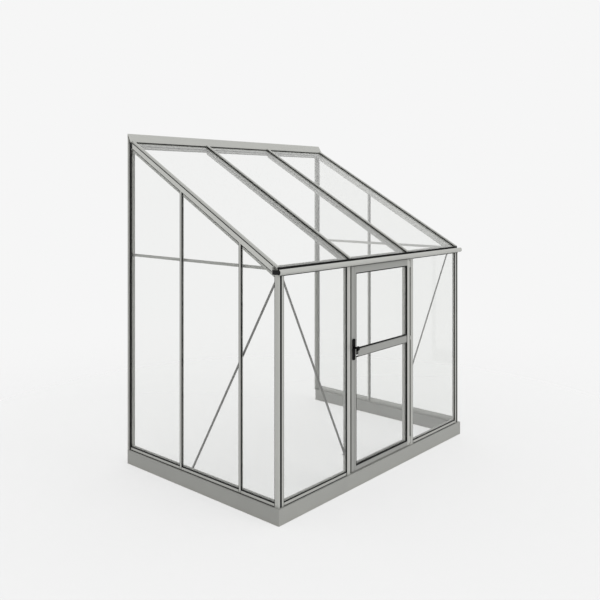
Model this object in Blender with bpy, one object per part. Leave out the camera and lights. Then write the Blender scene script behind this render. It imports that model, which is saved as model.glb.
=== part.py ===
"""A lean-to greenhouse: a low base on three sides, an extruded aluminium frame,
single glass, a hinged door in the middle of the front and a gutter at the eaves.

Metres, +Z up. X runs along the front, Y runs from the front to the house wall.
The origin is on the ground, in the middle of the whole outline.
"""
import math

import bmesh
import bpy
from mathutils import Matrix, Vector

# Overall sizes
BASE_WIDTH = 2.700
BASE_DEPTH = 1.870
BASE_HEIGHT = 0.122
BASE_THICKNESS = 0.060
BASE_CHAMFER = 0.003
FRAME_INSET = 0.018         # the frame stands in from the base's outer faces
EAVES_HEIGHT = 1.842        # underside of the eaves beam
EAVES_TO_SEAT = 0.036       # from there up to the roof glass seat, at the frame's front plane
ROOF_PITCH = math.radians(29.4)

# Fits
SEAT_GAP = 0.0003           # between pieces that touch
GASKET = 0.002              # rubber between a pane and the metal outside it
RUN_GAP = 0.006             # between the door leaf and what is above and below it

# Glass
GLASS = 0.004
WALL_GLASS_SET = 0.008      # from the frame's outer plane back to the glass
EDGE_COVER = 0.009          # how far a pane's edge goes in under a nose
NOSE = WALL_GLASS_SET - GASKET
REBATE = WALL_GLASS_SET + GLASS + SEAT_GAP

# Wall bars, posts and sills
BAR_FACE = 0.018
BAR_NECK = 0.005
BAR_FLANGE = 0.028
BAR_BULB = 0.014
BAR_BULB_HEIGHT = 0.006
BAR_DEPTH = 0.030
FLANGE = 0.003
POST_FACE = 0.054           # corner post, on the front
POST_SIDE_FACE = 0.039      # the same on the gable
POST_GROOVE_AT = 0.014
POST_GROOVE_WIDTH = 0.021
POST_GROOVE_DEPTH = 0.004
POST_FLANGE_REACH = 0.006   # past each face, behind the glass
POST_LIP = 0.022
POST_WALL = 0.004
SILL_LIP = 0.020
SILL_LIP_RISE = 0.005
SILL_UPSTAND = 0.048
SILL_FOOT = 0.030
SILL_FLOOR = 0.004
WALL_POST_FACE = 0.022
WALL_POST_DEPTH = 0.058
WALL_POST_HOOK = 0.010
WALL_POST_SLOT = 0.012
WALL_POST_FLANGE = 0.026
GABLE_BARS_LEFT = (0.431, 1.144)    # from the base's front face
GABLE_BARS_RIGHT = (1.115,)
GABLE_RAIL_HEIGHT = 0.025
GABLE_RAIL_THICKNESS = 0.004
GABLE_RAIL_RISE = 0.0305    # above the underside of the eaves beam
BRACE_WIDTH = 0.020
BRACE_THICKNESS = 0.003
BRACE_LEFT_HEAD = 0.077     # in from the base's left face
BRACE_LEFT_FOOT = 0.303     # height on the jamb
BRACE_RIGHT_HEAD = 0.179    # in from the base's right face
BRACE_RIGHT_FOOT = 0.781    # height on the jamb
BRACE_GABLE_HEAD = 0.048    # back from the base's front face
BRACE_GABLE_FOOT = 1.044

# Roof bars
RAFTER_INSET = 0.435        # cap line of a middle rafter, from the middle of the front
RAFTER_DEPTH = 0.060
RAFTER_SEAT = 0.034
RAFTER_SEAT_THICKNESS = 0.004
RAFTER_WEB = 0.008
RAFTER_BULB = 0.026
RAFTER_BULB_HEIGHT = 0.022
RAFTER_UPSTAND = 0.008
CAP_WIDTH = 0.022
CAP_HEIGHT = 0.016
CAP_WALL = 0.003
CAP_CORNER = 0.004
CAP_OVERHANG = 0.036        # past the eaves beam, down over the gutter
END_RAFTER_AXIS = 0.011     # cap line of an end rafter, in from the gable plane
END_RAFTER_FACE = 0.041     # depth of the leg outside the gable glass
END_RAFTER_DEPTH = 0.072    # depth of the leg inside it
END_RAFTER_STEP = 0.003     # top of the outer leg, below the glass seat
SLOT_MOUTH = 0.006          # bolt slot of the larger sections
SLOT_WIDTH = 0.011
SLOT_LIP = 0.0025
SLOT_DEPTH = 0.008

# Eaves beam and gutter
EAVES_FLANGE = 0.003
EAVES_WEB = 0.004
GUTTER_REACH = 0.038        # in front of the frame's front plane
GUTTER_DEPTH = 0.090
GUTTER_RADIUS = 0.023
GUTTER_WALL = 0.003
GUTTER_ARC_STEPS = 14
GUTTER_LIP_ANGLE = math.radians(110)
GLASS_DRIP = 0.012          # lower edge of the roof glass, behind the frame's front plane

# Ridge
RIDGE_BEAM_DEPTH = 0.050    # out from the house wall
RIDGE_BEAM_HEIGHT = 0.052
RIDGE_BEAM_WALL = 0.004
RIDGE_BEAM_BACK = 0.048     # back leg above the glass seat at the front of the beam
FLASHING_DEPTH = 0.045
FLASHING_RISE = 0.071
FLASHING_SHEET = 0.003
FLASHING_LIP = 0.009
RIDGE_GLASS_LAP = 0.018     # roof glass past the front of the ridge beam

# Door
DOOR_OPENING = 0.925
DOOR_OFFSET = 0.0           # centre of the opening, right of the middle
LATCH_JAMB_FACE = 0.041
HINGE_JAMB_FACE = 0.029
JAMB_TUBE_REACH = 0.003     # past the face, behind the glass
JAMB_FLANGE_REACH = 0.012
JAMB_DEPTH = 0.040
STOP_LAP = 0.007            # how far the lip of a jamb laps behind the leaf
STOP_THICKNESS = 0.004
LATCH_GAP = 0.018
HINGE_STRIP = 0.025         # between the hinge stile's face and the jamb's face
HINGE_SET = 0.0115          # hinge axis, in from the jamb's face
HINGE_BACK = 0.003          # hinge axis, back from the frame's front plane
LEAF_DEPTH = 0.030
LATCH_STILE_FACE = 0.062
HINGE_STILE_FACE = 0.036
LATCH_STILE_BOX = 0.062     # width of the part behind the glass
HINGE_STILE_BOX = 0.080
STILE_SLOT_AT = 0.012       # centre of the bolt slot, in from the leaf's edge
STILE_GROOVE_AT = 0.041
STILE_GROOVE_WIDTH = 0.002
STILE_GROOVE_DEPTH = 0.0015
DOOR_GLASS_SET = 0.012
BOTTOM_RAIL_FACE = 0.037
BOTTOM_RAIL_BOX = 0.061
TOP_RAIL_FACE = 0.055
MID_RAIL_Z = 1.112
MID_RAIL_FLANGE = 0.044
MID_RAIL_WEB = 0.006
MID_COVER_HEIGHT = 0.060
MID_COVER_DEPTH = 0.012     # in front of the leaf
MID_COVER_WALL = 0.003
MID_COVER_START = 0.017     # from the latch stile
MID_COVER_SHORT = 0.033     # the cover stops short of the hinge stile

# Hinges
BARREL_RADIUS = 0.005
BARREL_LENGTH = 0.060
BARREL_NECK = 0.004
BARREL_STEPS = 14
PIN_RADIUS = 0.003
PIN_PLAY = 0.0005
PIN_LENGTH = 0.024
HINGE_BLOCK_HEIGHT = 0.018
HINGE_BLOCK_GAP = 0.003

# Lock plate and knob
PLATE_SET = 0.027           # centre line, in from the leaf's edge
PLATE_Z = 1.147
PLATE_WIDTH = 0.037
PLATE_HEIGHT = 0.177
PLATE_THICKNESS = 0.006
PLATE_CORNER = 0.012
PLATE_CORNER_STEPS = 5
KNOB_Z = 1.162
KNOB_REACH = 0.056          # front of the knob, in front of the leaf's face
KNOB_RADIUS = 0.019
KNOB_THICKNESS = 0.016
KNOB_ROUNDING = 0.006
KNOB_NECK_RADIUS = 0.011
SPINDLE_RADIUS = 0.006
SPINDLE_PLAY = 0.001
ROUND_STEPS = 32

# Places worked out from the sizes
HALF_WIDTH = BASE_WIDTH / 2
FRONT_REACH = KNOB_REACH - FRAME_INSET
FRONT_Y = -(BASE_DEPTH - FRONT_REACH) / 2
WALL_Y = FRONT_Y + BASE_DEPTH
FRAME_FRONT = FRONT_Y + FRAME_INSET
GABLE_X = HALF_WIDTH - FRAME_INSET
TAN_PITCH = math.tan(ROOF_PITCH)
COS_PITCH = math.cos(ROOF_PITCH)
FRAME_FOOT = BASE_HEIGHT + SEAT_GAP
GUTTER_FRONT = FRAME_FRONT - GUTTER_REACH
EAVES_WEB_FRONT = GUTTER_FRONT + GUTTER_DEPTH + SEAT_GAP
EAVES_BACK = EAVES_WEB_FRONT + EAVES_WEB
RIDGE_FRONT = WALL_Y - RIDGE_BEAM_DEPTH
DOOR_LEFT = DOOR_OFFSET - DOOR_OPENING / 2
DOOR_RIGHT = DOOR_OFFSET + DOOR_OPENING / 2
LEAF_LEFT = DOOR_LEFT + LATCH_GAP
LEAF_RIGHT = DOOR_RIGHT - HINGE_STRIP
LEAF_FOOT = BASE_HEIGHT + RUN_GAP
LEAF_HEAD = EAVES_HEIGHT - RUN_GAP
HINGE_X = DOOR_RIGHT - HINGE_SET
HINGE_Y = FRAME_FRONT + HINGE_BACK
INNER_LINE = BAR_DEPTH + SEAT_GAP       # plane of the braces and gable rails

X_AXIS = Vector((1.0, 0.0, 0.0))
Y_AXIS = Vector((0.0, 1.0, 0.0))
Z_AXIS = Vector((0.0, 0.0, 1.0))
ROOF_NORMAL = Vector((0.0, -math.sin(ROOF_PITCH), COS_PITCH))


def seat_height(y):
    """Height of the plane on which the roof glass lies."""
    return EAVES_HEIGHT + EAVES_TO_SEAT + (y - FRAME_FRONT) * TAN_PITCH


RIDGE_SEAT = seat_height(RIDGE_FRONT)
RIDGE_FOOT = RIDGE_SEAT - RIDGE_BEAM_HEIGHT


def clear_scene():
    """Remove what the file holds."""
    for obj in list(bpy.data.objects):
        bpy.data.objects.remove(obj, do_unlink=True)


def make_material(name, colour, roughness, metallic, transmission=0.0):
    """A Principled material with plain values."""
    material = bpy.data.materials.new(name)
    material.use_nodes = True
    shader = material.node_tree.nodes["Principled BSDF"]
    shader.inputs["Base Color"].default_value = (*colour, 1.0)
    shader.inputs["Roughness"].default_value = roughness
    shader.inputs["Metallic"].default_value = metallic
    shader.inputs["Transmission Weight"].default_value = transmission
    return material


def link(mesh_data, name, material):
    """Wrap a mesh in a named object and put it in the scene."""
    obj = bpy.data.objects.new(name, mesh_data)
    obj.data.materials.append(material)
    bpy.context.scene.collection.objects.link(obj)
    return obj


def place(obj, origin, across, up):
    """Set an object's origin and turn its local X to across and its local Y to up."""
    along = across.cross(up)
    obj.rotation_euler = Matrix((across, up, along)).transposed().to_euler()
    obj.location = origin
    return obj


def ride_on(obj, axis_empty):
    """Parent an object to the empty on its joint axis, keeping its place."""
    obj.parent = axis_empty
    obj.matrix_parent_inverse = Matrix.Translation(axis_empty.location).inverted()
    return obj


def extrusion(name, outline, length, material, start=(0.0, 0.0), end=(0.0, 0.0)):
    """Extrude a closed outline along local Z. Each end is cut on its own slopes in X and Y."""
    shape = bmesh.new()
    profile = shape.faces.new([shape.verts.new((u, v, 0.0)) for u, v in outline])
    made = bmesh.ops.extrude_face_region(shape, geom=[profile])["geom"]
    far = [item for item in made if isinstance(item, bmesh.types.BMVert)]
    near = [vert for vert in shape.verts if vert not in far]
    bmesh.ops.translate(shape, verts=far, vec=(0.0, 0.0, length))
    for verts, slopes in ((near, start), (far, end)):
        for vert in verts:
            vert.co.z += slopes[0] * vert.co.x + slopes[1] * vert.co.y
    bmesh.ops.recalc_face_normals(shape, faces=shape.faces)
    mesh_data = bpy.data.meshes.new(name)
    shape.to_mesh(mesh_data)
    shape.free()
    return link(mesh_data, name, material)


def mirrored(outline):
    """The same outline, seen from the other side."""
    return [(-u, v) for u, v in reversed(outline)]


def both_sides(half):
    """Close a half outline with its mirror image in X."""
    return list(half) + mirrored(half)


def arc(centre, radius, first, last, steps):
    """Points along an arc, both ends included."""
    turn = (last - first) / steps
    angles = [first + turn * step for step in range(steps + 1)]
    return [(centre[0] + radius * math.cos(a), centre[1] + radius * math.sin(a)) for a in angles]


def box_cutter(name, low, high):
    """A hidden box that a Boolean takes away."""
    size = [b - a for a, b in zip(low, high)]
    outline = [(0.0, 0.0), (size[0], 0.0), (size[0], size[1]), (0.0, size[1])]
    cutter = place(extrusion(name, outline, size[2], MATERIALS["aluminium"]), low, X_AXIS, Y_AXIS)
    return hide_tool(cutter)


def hide_tool(tool):
    """Mark an object as a tool that only another object's modifier uses."""
    tool.hide_render = True
    tool.display_type = "WIRE"
    return tool


def combine(obj, tool, operation):
    """Cut one object by another, or join the two."""
    modifier = obj.modifiers.new(tool.name, "BOOLEAN")
    modifier.operation = operation
    modifier.solver = "EXACT"
    modifier.object = tool
    return obj


def shade_round(obj, angle=math.radians(35)):
    """Shade curved faces smooth and keep the real edges sharp."""
    obj.data.shade_smooth()
    obj.data.set_sharp_from_angle(angle=angle)
    return obj


# Sections of the extrusions, as outlines


def bolt_slot(centre, face, direction):
    """Points of a bolt slot cut into a flat face, from its low side to its high side."""
    mouth, width = SLOT_MOUTH / 2, SLOT_WIDTH / 2
    lip, floor = face + direction * SLOT_LIP, face + direction * SLOT_DEPTH
    half = [(mouth, face), (mouth, lip), (width, lip), (width, floor)]
    low = [(centre - u, v) for u, v in half]
    high = [(centre + u, v) for u, v in reversed(half)]
    return low + high


def bar_outline():
    """Wall bar: nose outside the glass, flange and bulb inside it."""
    depth = REBATE + FLANGE
    bulb = BAR_DEPTH - BAR_BULB_HEIGHT
    return both_sides([
        (BAR_FACE / 2, 0.0), (BAR_FACE / 2, NOSE), (BAR_NECK / 2, NOSE), (BAR_NECK / 2, REBATE),
        (BAR_FLANGE / 2, REBATE), (BAR_FLANGE / 2, depth), (BAR_NECK / 2, depth),
        (BAR_NECK / 2, bulb), (BAR_BULB / 2, bulb), (BAR_BULB / 2, BAR_DEPTH),
    ])


def corner_post_outline():
    """Corner post, along the front and back from it: a grooved face, a side face, two legs."""
    slot, side_slot = POST_FACE - EDGE_COVER - GASKET, POST_SIDE_FACE - EDGE_COVER - GASKET
    leg, side_leg = POST_FACE + POST_FLANGE_REACH, POST_SIDE_FACE + POST_FLANGE_REACH
    inner = REBATE + POST_WALL
    groove_end = POST_GROOVE_AT + POST_GROOVE_WIDTH
    front = [
        (0.0, 0.0), (POST_GROOVE_AT, 0.0), (POST_GROOVE_AT, POST_GROOVE_DEPTH),
        (groove_end, POST_GROOVE_DEPTH), (groove_end, 0.0), (POST_FACE, 0.0), (POST_FACE, NOSE),
        (slot, NOSE), (slot, REBATE), (leg, REBATE), (leg, BAR_DEPTH), (leg - POST_WALL, BAR_DEPTH),
        (leg - POST_WALL, inner),
    ]
    side = [
        (inner, inner), (inner, side_leg - POST_WALL), (POST_LIP, side_leg - POST_WALL),
        (POST_LIP, side_leg), (REBATE, side_leg), (REBATE, side_slot), (NOSE, side_slot),
        (NOSE, POST_SIDE_FACE), (0.0, POST_SIDE_FACE),
    ]
    return front + side


def wall_post_outline():
    """Post against the house wall, measured in from the gable and out from the wall."""
    return [
        (0.0, 0.0), (WALL_POST_DEPTH, 0.0), (WALL_POST_DEPTH, WALL_POST_HOOK),
        (WALL_POST_DEPTH - POST_WALL, WALL_POST_HOOK), (WALL_POST_DEPTH - POST_WALL, POST_WALL),
        (REBATE + POST_WALL, POST_WALL), (REBATE + POST_WALL, WALL_POST_FLANGE),
        (REBATE, WALL_POST_FLANGE), (REBATE, WALL_POST_SLOT), (NOSE, WALL_POST_SLOT),
        (NOSE, WALL_POST_FACE), (0.0, WALL_POST_FACE),
    ]


def sill_outline():
    """Sill channel, measured in from the frame's outer plane and up from its foot."""
    upstand = REBATE + FLANGE
    return [
        (0.0, 0.0), (SILL_FOOT, 0.0), (SILL_FOOT, SILL_FLOOR), (upstand, SILL_FLOOR),
        (upstand, SILL_UPSTAND), (REBATE, SILL_UPSTAND), (REBATE, SILL_FLOOR),
        (NOSE, SILL_FLOOR), (NOSE, SILL_LIP + SILL_LIP_RISE), (0.0, SILL_LIP),
    ]


def jamb_outline(face, gap):
    """Door jamb, measured outwards from the opening, with a lip behind the leaf across the gap."""
    reach, tube = face + JAMB_FLANGE_REACH, face + JAMB_TUBE_REACH
    slot = face - EDGE_COVER - GASKET
    lip, lip_front = -gap - STOP_LAP, JAMB_DEPTH - STOP_THICKNESS
    front = [
        (0.0, 0.0), (face, 0.0), (face, NOSE), (slot, NOSE), (slot, REBATE), (reach, REBATE),
        (reach, REBATE + FLANGE), (tube, REBATE + FLANGE), (tube, JAMB_DEPTH),
    ]
    back = bolt_slot(tube / 2, JAMB_DEPTH, -1.0)[::-1]
    return front + back + [(lip, JAMB_DEPTH), (lip, lip_front), (0.0, lip_front)]


def rafter_outline():
    """Rafter: upstand for the cap, seat for the glass, web, and a bulb with a bolt slot."""
    seat = -RAFTER_SEAT_THICKNESS
    bulb = RAFTER_BULB_HEIGHT - RAFTER_DEPTH
    right = [
        (RAFTER_BULB / 2, -RAFTER_DEPTH), (RAFTER_BULB / 2, bulb), (RAFTER_WEB / 2, bulb),
        (RAFTER_WEB / 2, seat), (RAFTER_SEAT / 2, seat), (RAFTER_SEAT / 2, 0.0),
        (RAFTER_UPSTAND / 2, 0.0), (RAFTER_UPSTAND / 2, cap_top() - CAP_WALL - SEAT_GAP),
    ]
    return bolt_slot(0.0, -RAFTER_DEPTH, 1.0) + both_sides(right)


def end_rafter_outline():
    """End rafter, in from the gable plane: a leg on each side of the gable glass, and a seat."""
    inner = REBATE + POST_WALL
    seat = -RAFTER_SEAT_THICKNESS
    near = END_RAFTER_AXIS - RAFTER_UPSTAND / 2
    far = END_RAFTER_AXIS + RAFTER_UPSTAND / 2
    edge = END_RAFTER_AXIS + RAFTER_SEAT / 2
    top = cap_top() - CAP_WALL - SEAT_GAP
    channel = seat - END_RAFTER_STEP
    return [
        (0.0, -END_RAFTER_FACE), (NOSE, -END_RAFTER_FACE), (NOSE, channel), (REBATE, channel),
        (REBATE, -END_RAFTER_DEPTH), (inner, -END_RAFTER_DEPTH), (inner, seat), (edge, seat),
        (edge, 0.0), (far, 0.0), (far, top), (near, top), (near, 0.0), (NOSE, 0.0),
        (NOSE, -END_RAFTER_STEP), (0.0, -END_RAFTER_STEP),
    ]


def cap_foot():
    """Lower edge of a cap above the glass seat."""
    return SEAT_GAP + GLASS + GASKET


def cap_top():
    """Top of a cap above the glass seat."""
    return cap_foot() + CAP_HEIGHT


def cap_outline():
    """Cap over a rafter: a channel, open below, with chamfered shoulders."""
    half, inside = CAP_WIDTH / 2, CAP_WIDTH / 2 - CAP_WALL
    foot, top = cap_foot(), cap_top()
    return both_sides([
        (inside, top - CAP_WALL), (inside, foot), (half, foot),
        (half, top - CAP_CORNER), (half - CAP_CORNER, top),
    ][::-1])


def gutter_outline():
    """Gutter in Y and Z: flat floor, straight back, front rolled round and in at the lip."""
    inner_radius = GUTTER_RADIUS - GUTTER_WALL
    centre = (GUTTER_FRONT + GUTTER_RADIUS, EAVES_HEIGHT + EAVES_FLANGE + SEAT_GAP + GUTTER_RADIUS)
    floor = centre[1] - GUTTER_RADIUS
    back = GUTTER_FRONT + GUTTER_DEPTH
    outer = arc(centre, GUTTER_RADIUS, math.radians(270), GUTTER_LIP_ANGLE, GUTTER_ARC_STEPS)
    inner = arc(centre, inner_radius, GUTTER_LIP_ANGLE, math.radians(270), GUTTER_ARC_STEPS)
    inside_back = back - GUTTER_WALL
    rim = seat_height(inside_back) - SEAT_GAP
    return outer + inner + [
        (inside_back, floor + GUTTER_WALL), (inside_back, rim), (back, rim), (back, floor),
    ]


def eaves_outline():
    """Eaves beam in Y and Z: a flange on the posts, a web raked to the roof behind the gutter."""
    floor = EAVES_HEIGHT + EAVES_FLANGE
    return [
        (FRAME_FRONT, EAVES_HEIGHT), (EAVES_BACK, EAVES_HEIGHT), (EAVES_BACK, seat_height(EAVES_BACK)),
        (EAVES_WEB_FRONT, seat_height(EAVES_WEB_FRONT)), (EAVES_WEB_FRONT, floor),
        (FRAME_FRONT, floor),
    ]


def ridge_outline():
    """Ridge beam in Y and Z: a channel, its front leg raked to the roof, its back on the wall."""
    inside_front = RIDGE_FRONT + RIDGE_BEAM_WALL
    inside_back = WALL_Y - RIDGE_BEAM_WALL
    floor = RIDGE_FOOT + RIDGE_BEAM_WALL
    head = RIDGE_SEAT + RIDGE_BEAM_BACK
    return [
        (RIDGE_FRONT, RIDGE_FOOT), (WALL_Y, RIDGE_FOOT), (WALL_Y, head), (inside_back, head),
        (inside_back, floor), (inside_front, floor), (inside_front, seat_height(inside_front)),
        (RIDGE_FRONT, RIDGE_SEAT),
    ]


def flashing_outline():
    """Ridge flashing in Y and Z: a bent sheet from the wall down to a lip above the glass."""
    front = WALL_Y - FLASHING_DEPTH
    foot = seat_height(front) + (SEAT_GAP + GLASS + GASKET) / COS_PITCH
    bend = foot + FLASHING_LIP
    crest = bend + FLASHING_RISE
    back = RIDGE_SEAT + RIDGE_BEAM_BACK + SEAT_GAP
    slope = FLASHING_RISE / FLASHING_DEPTH
    drop = FLASHING_SHEET * math.hypot(1.0, slope)
    inside_front = front + FLASHING_SHEET
    inside_back = WALL_Y - FLASHING_SHEET
    return [
        (front, foot), (inside_front, foot), (inside_front, bend + slope * FLASHING_SHEET - drop),
        (inside_back, crest - slope * FLASHING_SHEET - drop), (inside_back, back), (WALL_Y, back),
        (WALL_Y, crest), (front, bend),
    ]


def stile_outline(face, box, groove):
    """Door stile, measured in from the leaf's edge: face, glass slot, and a box behind the glass."""
    rebate = DOOR_GLASS_SET + GLASS + SEAT_GAP
    slot = face - EDGE_COVER - GASKET
    line = [
        (STILE_GROOVE_AT, 0.0), (STILE_GROOVE_AT, STILE_GROOVE_DEPTH),
        (STILE_GROOVE_AT + STILE_GROOVE_WIDTH, STILE_GROOVE_DEPTH),
        (STILE_GROOVE_AT + STILE_GROOVE_WIDTH, 0.0),
    ]
    front = [(0.0, 0.0)] + (line if groove else [])
    sides = [
        (face, 0.0), (face, NOSE), (slot, NOSE), (slot, rebate), (box, rebate), (box, LEAF_DEPTH),
    ]
    return front + sides + bolt_slot(STILE_SLOT_AT, LEAF_DEPTH, -1.0)[::-1] + [(0.0, LEAF_DEPTH)]


def hinge_stile_outline():
    """The hinge stile: the same section with an open barrel on its edge, on the hinge axis."""
    reach = HINGE_STRIP - HINGE_SET
    bore = PIN_RADIUS + PIN_PLAY
    lean = math.asin(BARREL_NECK / 2 / BARREL_RADIUS)
    mouth = math.radians(30)
    turn = 2 * math.pi
    centre = (-reach, HINGE_BACK)
    outer = arc(centre, BARREL_RADIUS, turn - lean, math.pi + mouth, BARREL_STEPS)
    inner = arc(centre, bore, math.pi + mouth, turn + math.pi - mouth, BARREL_STEPS)
    rest = arc(centre, BARREL_RADIUS, math.pi - mouth, lean, BARREL_STEPS // 2)
    body = stile_outline(HINGE_STILE_FACE, HINGE_STILE_BOX, False)
    barrel = [(0.0, HINGE_BACK + BARREL_NECK / 2)] + rest[::-1] + inner[::-1] + outer[::-1]
    return body + barrel + [(0.0, HINGE_BACK - BARREL_NECK / 2)]


def rail_outline(face, box):
    """Door rail, measured back from the leaf's face and in from the leaf's end."""
    rebate = DOOR_GLASS_SET + GLASS + SEAT_GAP
    slot = face - EDGE_COVER - GASKET
    return [
        (0.0, 0.0), (LEAF_DEPTH, 0.0), (LEAF_DEPTH, box), (rebate, box), (rebate, slot),
        (NOSE, slot), (NOSE, face), (0.0, face),
    ]


def mid_rail_outline():
    """Door mid rail: a web between the panes and a flange behind them."""
    rebate = DOOR_GLASS_SET + GLASS + SEAT_GAP
    half, web = MID_RAIL_FLANGE / 2, MID_RAIL_WEB / 2
    back = rebate + FLANGE
    return [
        (NOSE, -web), (rebate, -web), (rebate, -half), (back, -half),
        (back, half), (rebate, half), (rebate, web), (NOSE, web),
    ]


def mid_cover_outline():
    """Cover of the mid rail: a channel in front of the panes, with a lip down to the web."""
    half, inside = MID_COVER_HEIGHT / 2, MID_COVER_HEIGHT / 2 - MID_COVER_WALL
    front, back, spine = -MID_COVER_DEPTH, NOSE - SEAT_GAP, MID_RAIL_WEB
    floor = front + MID_COVER_WALL
    return [
        (floor, -half), (back, -half), (back, -inside), (floor, -inside), (floor, -spine),
        (back, -spine), (back, spine), (floor, spine), (floor, inside), (back, inside),
        (back, half), (floor, half), (front, half - MID_COVER_WALL), (front, MID_COVER_WALL - half),
    ]


def plate_outline():
    """Lock plate: a rectangle with rounded corners."""
    x, z, radius = PLATE_WIDTH / 2 - PLATE_CORNER, PLATE_HEIGHT / 2 - PLATE_CORNER, PLATE_CORNER
    quarter = math.pi / 2
    corners = ((x, z), (-x, z), (-x, -z), (x, -z))
    points = []
    for index, corner in enumerate(corners):
        points += arc(corner, radius, index * quarter, (index + 1) * quarter, PLATE_CORNER_STEPS)
    return points


# Pieces


def make_base():
    """Three beams on the ground, mitred at the front corners."""
    chamfer = BASE_CHAMFER
    outline = [
        (0.0, 0.0), (BASE_THICKNESS, 0.0), (BASE_THICKNESS, BASE_HEIGHT),
        (chamfer, BASE_HEIGHT), (0.0, BASE_HEIGHT - chamfer),
    ]
    metal = MATERIALS["base"]
    run = BASE_DEPTH - SEAT_GAP * 2
    front = extrusion("base_front", outline, BASE_WIDTH, metal, start=(1.0, 0.0), end=(-1.0, 0.0))
    place(front, (-HALF_WIDTH, FRONT_Y, 0.0), Y_AXIS, Z_AXIS)
    left = extrusion("base_left", outline, run, metal, end=(-1.0, 0.0))
    place(left, (-HALF_WIDTH, WALL_Y, 0.0), X_AXIS, Z_AXIS)
    right = extrusion("base_right", outline, run, metal, start=(1.0, 0.0))
    place(right, (HALF_WIDTH, WALL_Y - run, 0.0), -X_AXIS, Z_AXIS)


def make_sills():
    """Sill channels under the fixed glass, notched round the gable bars."""
    outline = sill_outline()
    metal = MATERIALS["aluminium"]
    post = GABLE_X - POST_FACE - POST_FLANGE_REACH - SEAT_GAP
    left_jamb = DOOR_LEFT - LATCH_JAMB_FACE - JAMB_FLANGE_REACH - SEAT_GAP
    right_jamb = DOOR_RIGHT + HINGE_JAMB_FACE + JAMB_FLANGE_REACH + SEAT_GAP
    for name, first, last in (("left", -post, left_jamb), ("right", right_jamb, post)):
        sill = extrusion("sill_front_" + name, outline, last - first, metal)
        place(sill, (first, FRAME_FRONT, FRAME_FOOT), Y_AXIS, Z_AXIS)
    front = FRAME_FRONT + POST_SIDE_FACE + POST_FLANGE_REACH + SEAT_GAP
    back = WALL_Y - WALL_POST_FLANGE - SEAT_GAP
    left = extrusion("sill_left", outline, back - front, metal)
    place(left, (-GABLE_X, back, FRAME_FOOT), X_AXIS, Z_AXIS)
    right = extrusion("sill_right", outline, back - front, metal)
    place(right, (GABLE_X, front, FRAME_FOOT), -X_AXIS, Z_AXIS)
    for sill, side, bars in ((left, -1.0, GABLE_BARS_LEFT), (right, 1.0, GABLE_BARS_RIGHT)):
        for number, bar in enumerate(bars, 1):
            notch = notch_tool(sill.name + "_notch_" + str(number), side, FRONT_Y + bar)
            combine(sill, notch, "DIFFERENCE")


def notch_tool(name, side, bar_y):
    """The space that a gable bar needs in its sill."""
    reach = SILL_UPSTAND + REBATE
    near = side * (GABLE_X + REBATE)
    far = side * (GABLE_X - REBATE - FLANGE - SEAT_GAP)
    half = BAR_FLANGE / 2 + SEAT_GAP
    low = (min(near, far), bar_y - half, FRAME_FOOT + SILL_FLOOR)
    high = (max(near, far), bar_y + half, FRAME_FOOT + reach)
    return box_cutter(name, low, high)


def make_posts():
    """Corner posts at the front and posts against the house wall."""
    metal = MATERIALS["aluminium"]
    height = EAVES_HEIGHT - SEAT_GAP - FRAME_FOOT
    corner = corner_post_outline()
    left = extrusion("corner_post_left", corner, height, metal)
    place(left, (-GABLE_X, FRAME_FRONT, FRAME_FOOT), X_AXIS, Y_AXIS)
    right = extrusion("corner_post_right", mirrored(corner), height, metal)
    place(right, (GABLE_X, FRAME_FRONT, FRAME_FOOT), X_AXIS, Y_AXIS)
    wall = wall_post_outline()
    height = RIDGE_FOOT - SEAT_GAP - FRAME_FOOT
    left = extrusion("wall_post_left", mirrored(wall), height, metal)
    place(left, (-GABLE_X, WALL_Y, FRAME_FOOT), -X_AXIS, -Y_AXIS)
    right = extrusion("wall_post_right", wall, height, metal)
    place(right, (GABLE_X, WALL_Y, FRAME_FOOT), -X_AXIS, -Y_AXIS)


def make_jambs():
    """Door jambs, each with a lip behind the leaf."""
    metal = MATERIALS["aluminium"]
    height = EAVES_HEIGHT - SEAT_GAP - FRAME_FOOT
    left = extrusion("door_jamb_left", mirrored(jamb_outline(LATCH_JAMB_FACE, LATCH_GAP)), height, metal)
    place(left, (DOOR_LEFT, FRAME_FRONT, FRAME_FOOT), X_AXIS, Y_AXIS)
    right = extrusion("door_jamb_right", jamb_outline(HINGE_JAMB_FACE, HINGE_STRIP), height, metal)
    place(right, (DOOR_RIGHT, FRAME_FRONT, FRAME_FOOT), X_AXIS, Y_AXIS)


def gable_line(y, depth):
    """Height of the lower edge of an end rafter's leg of that depth."""
    return seat_height(y) - depth / COS_PITCH


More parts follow.
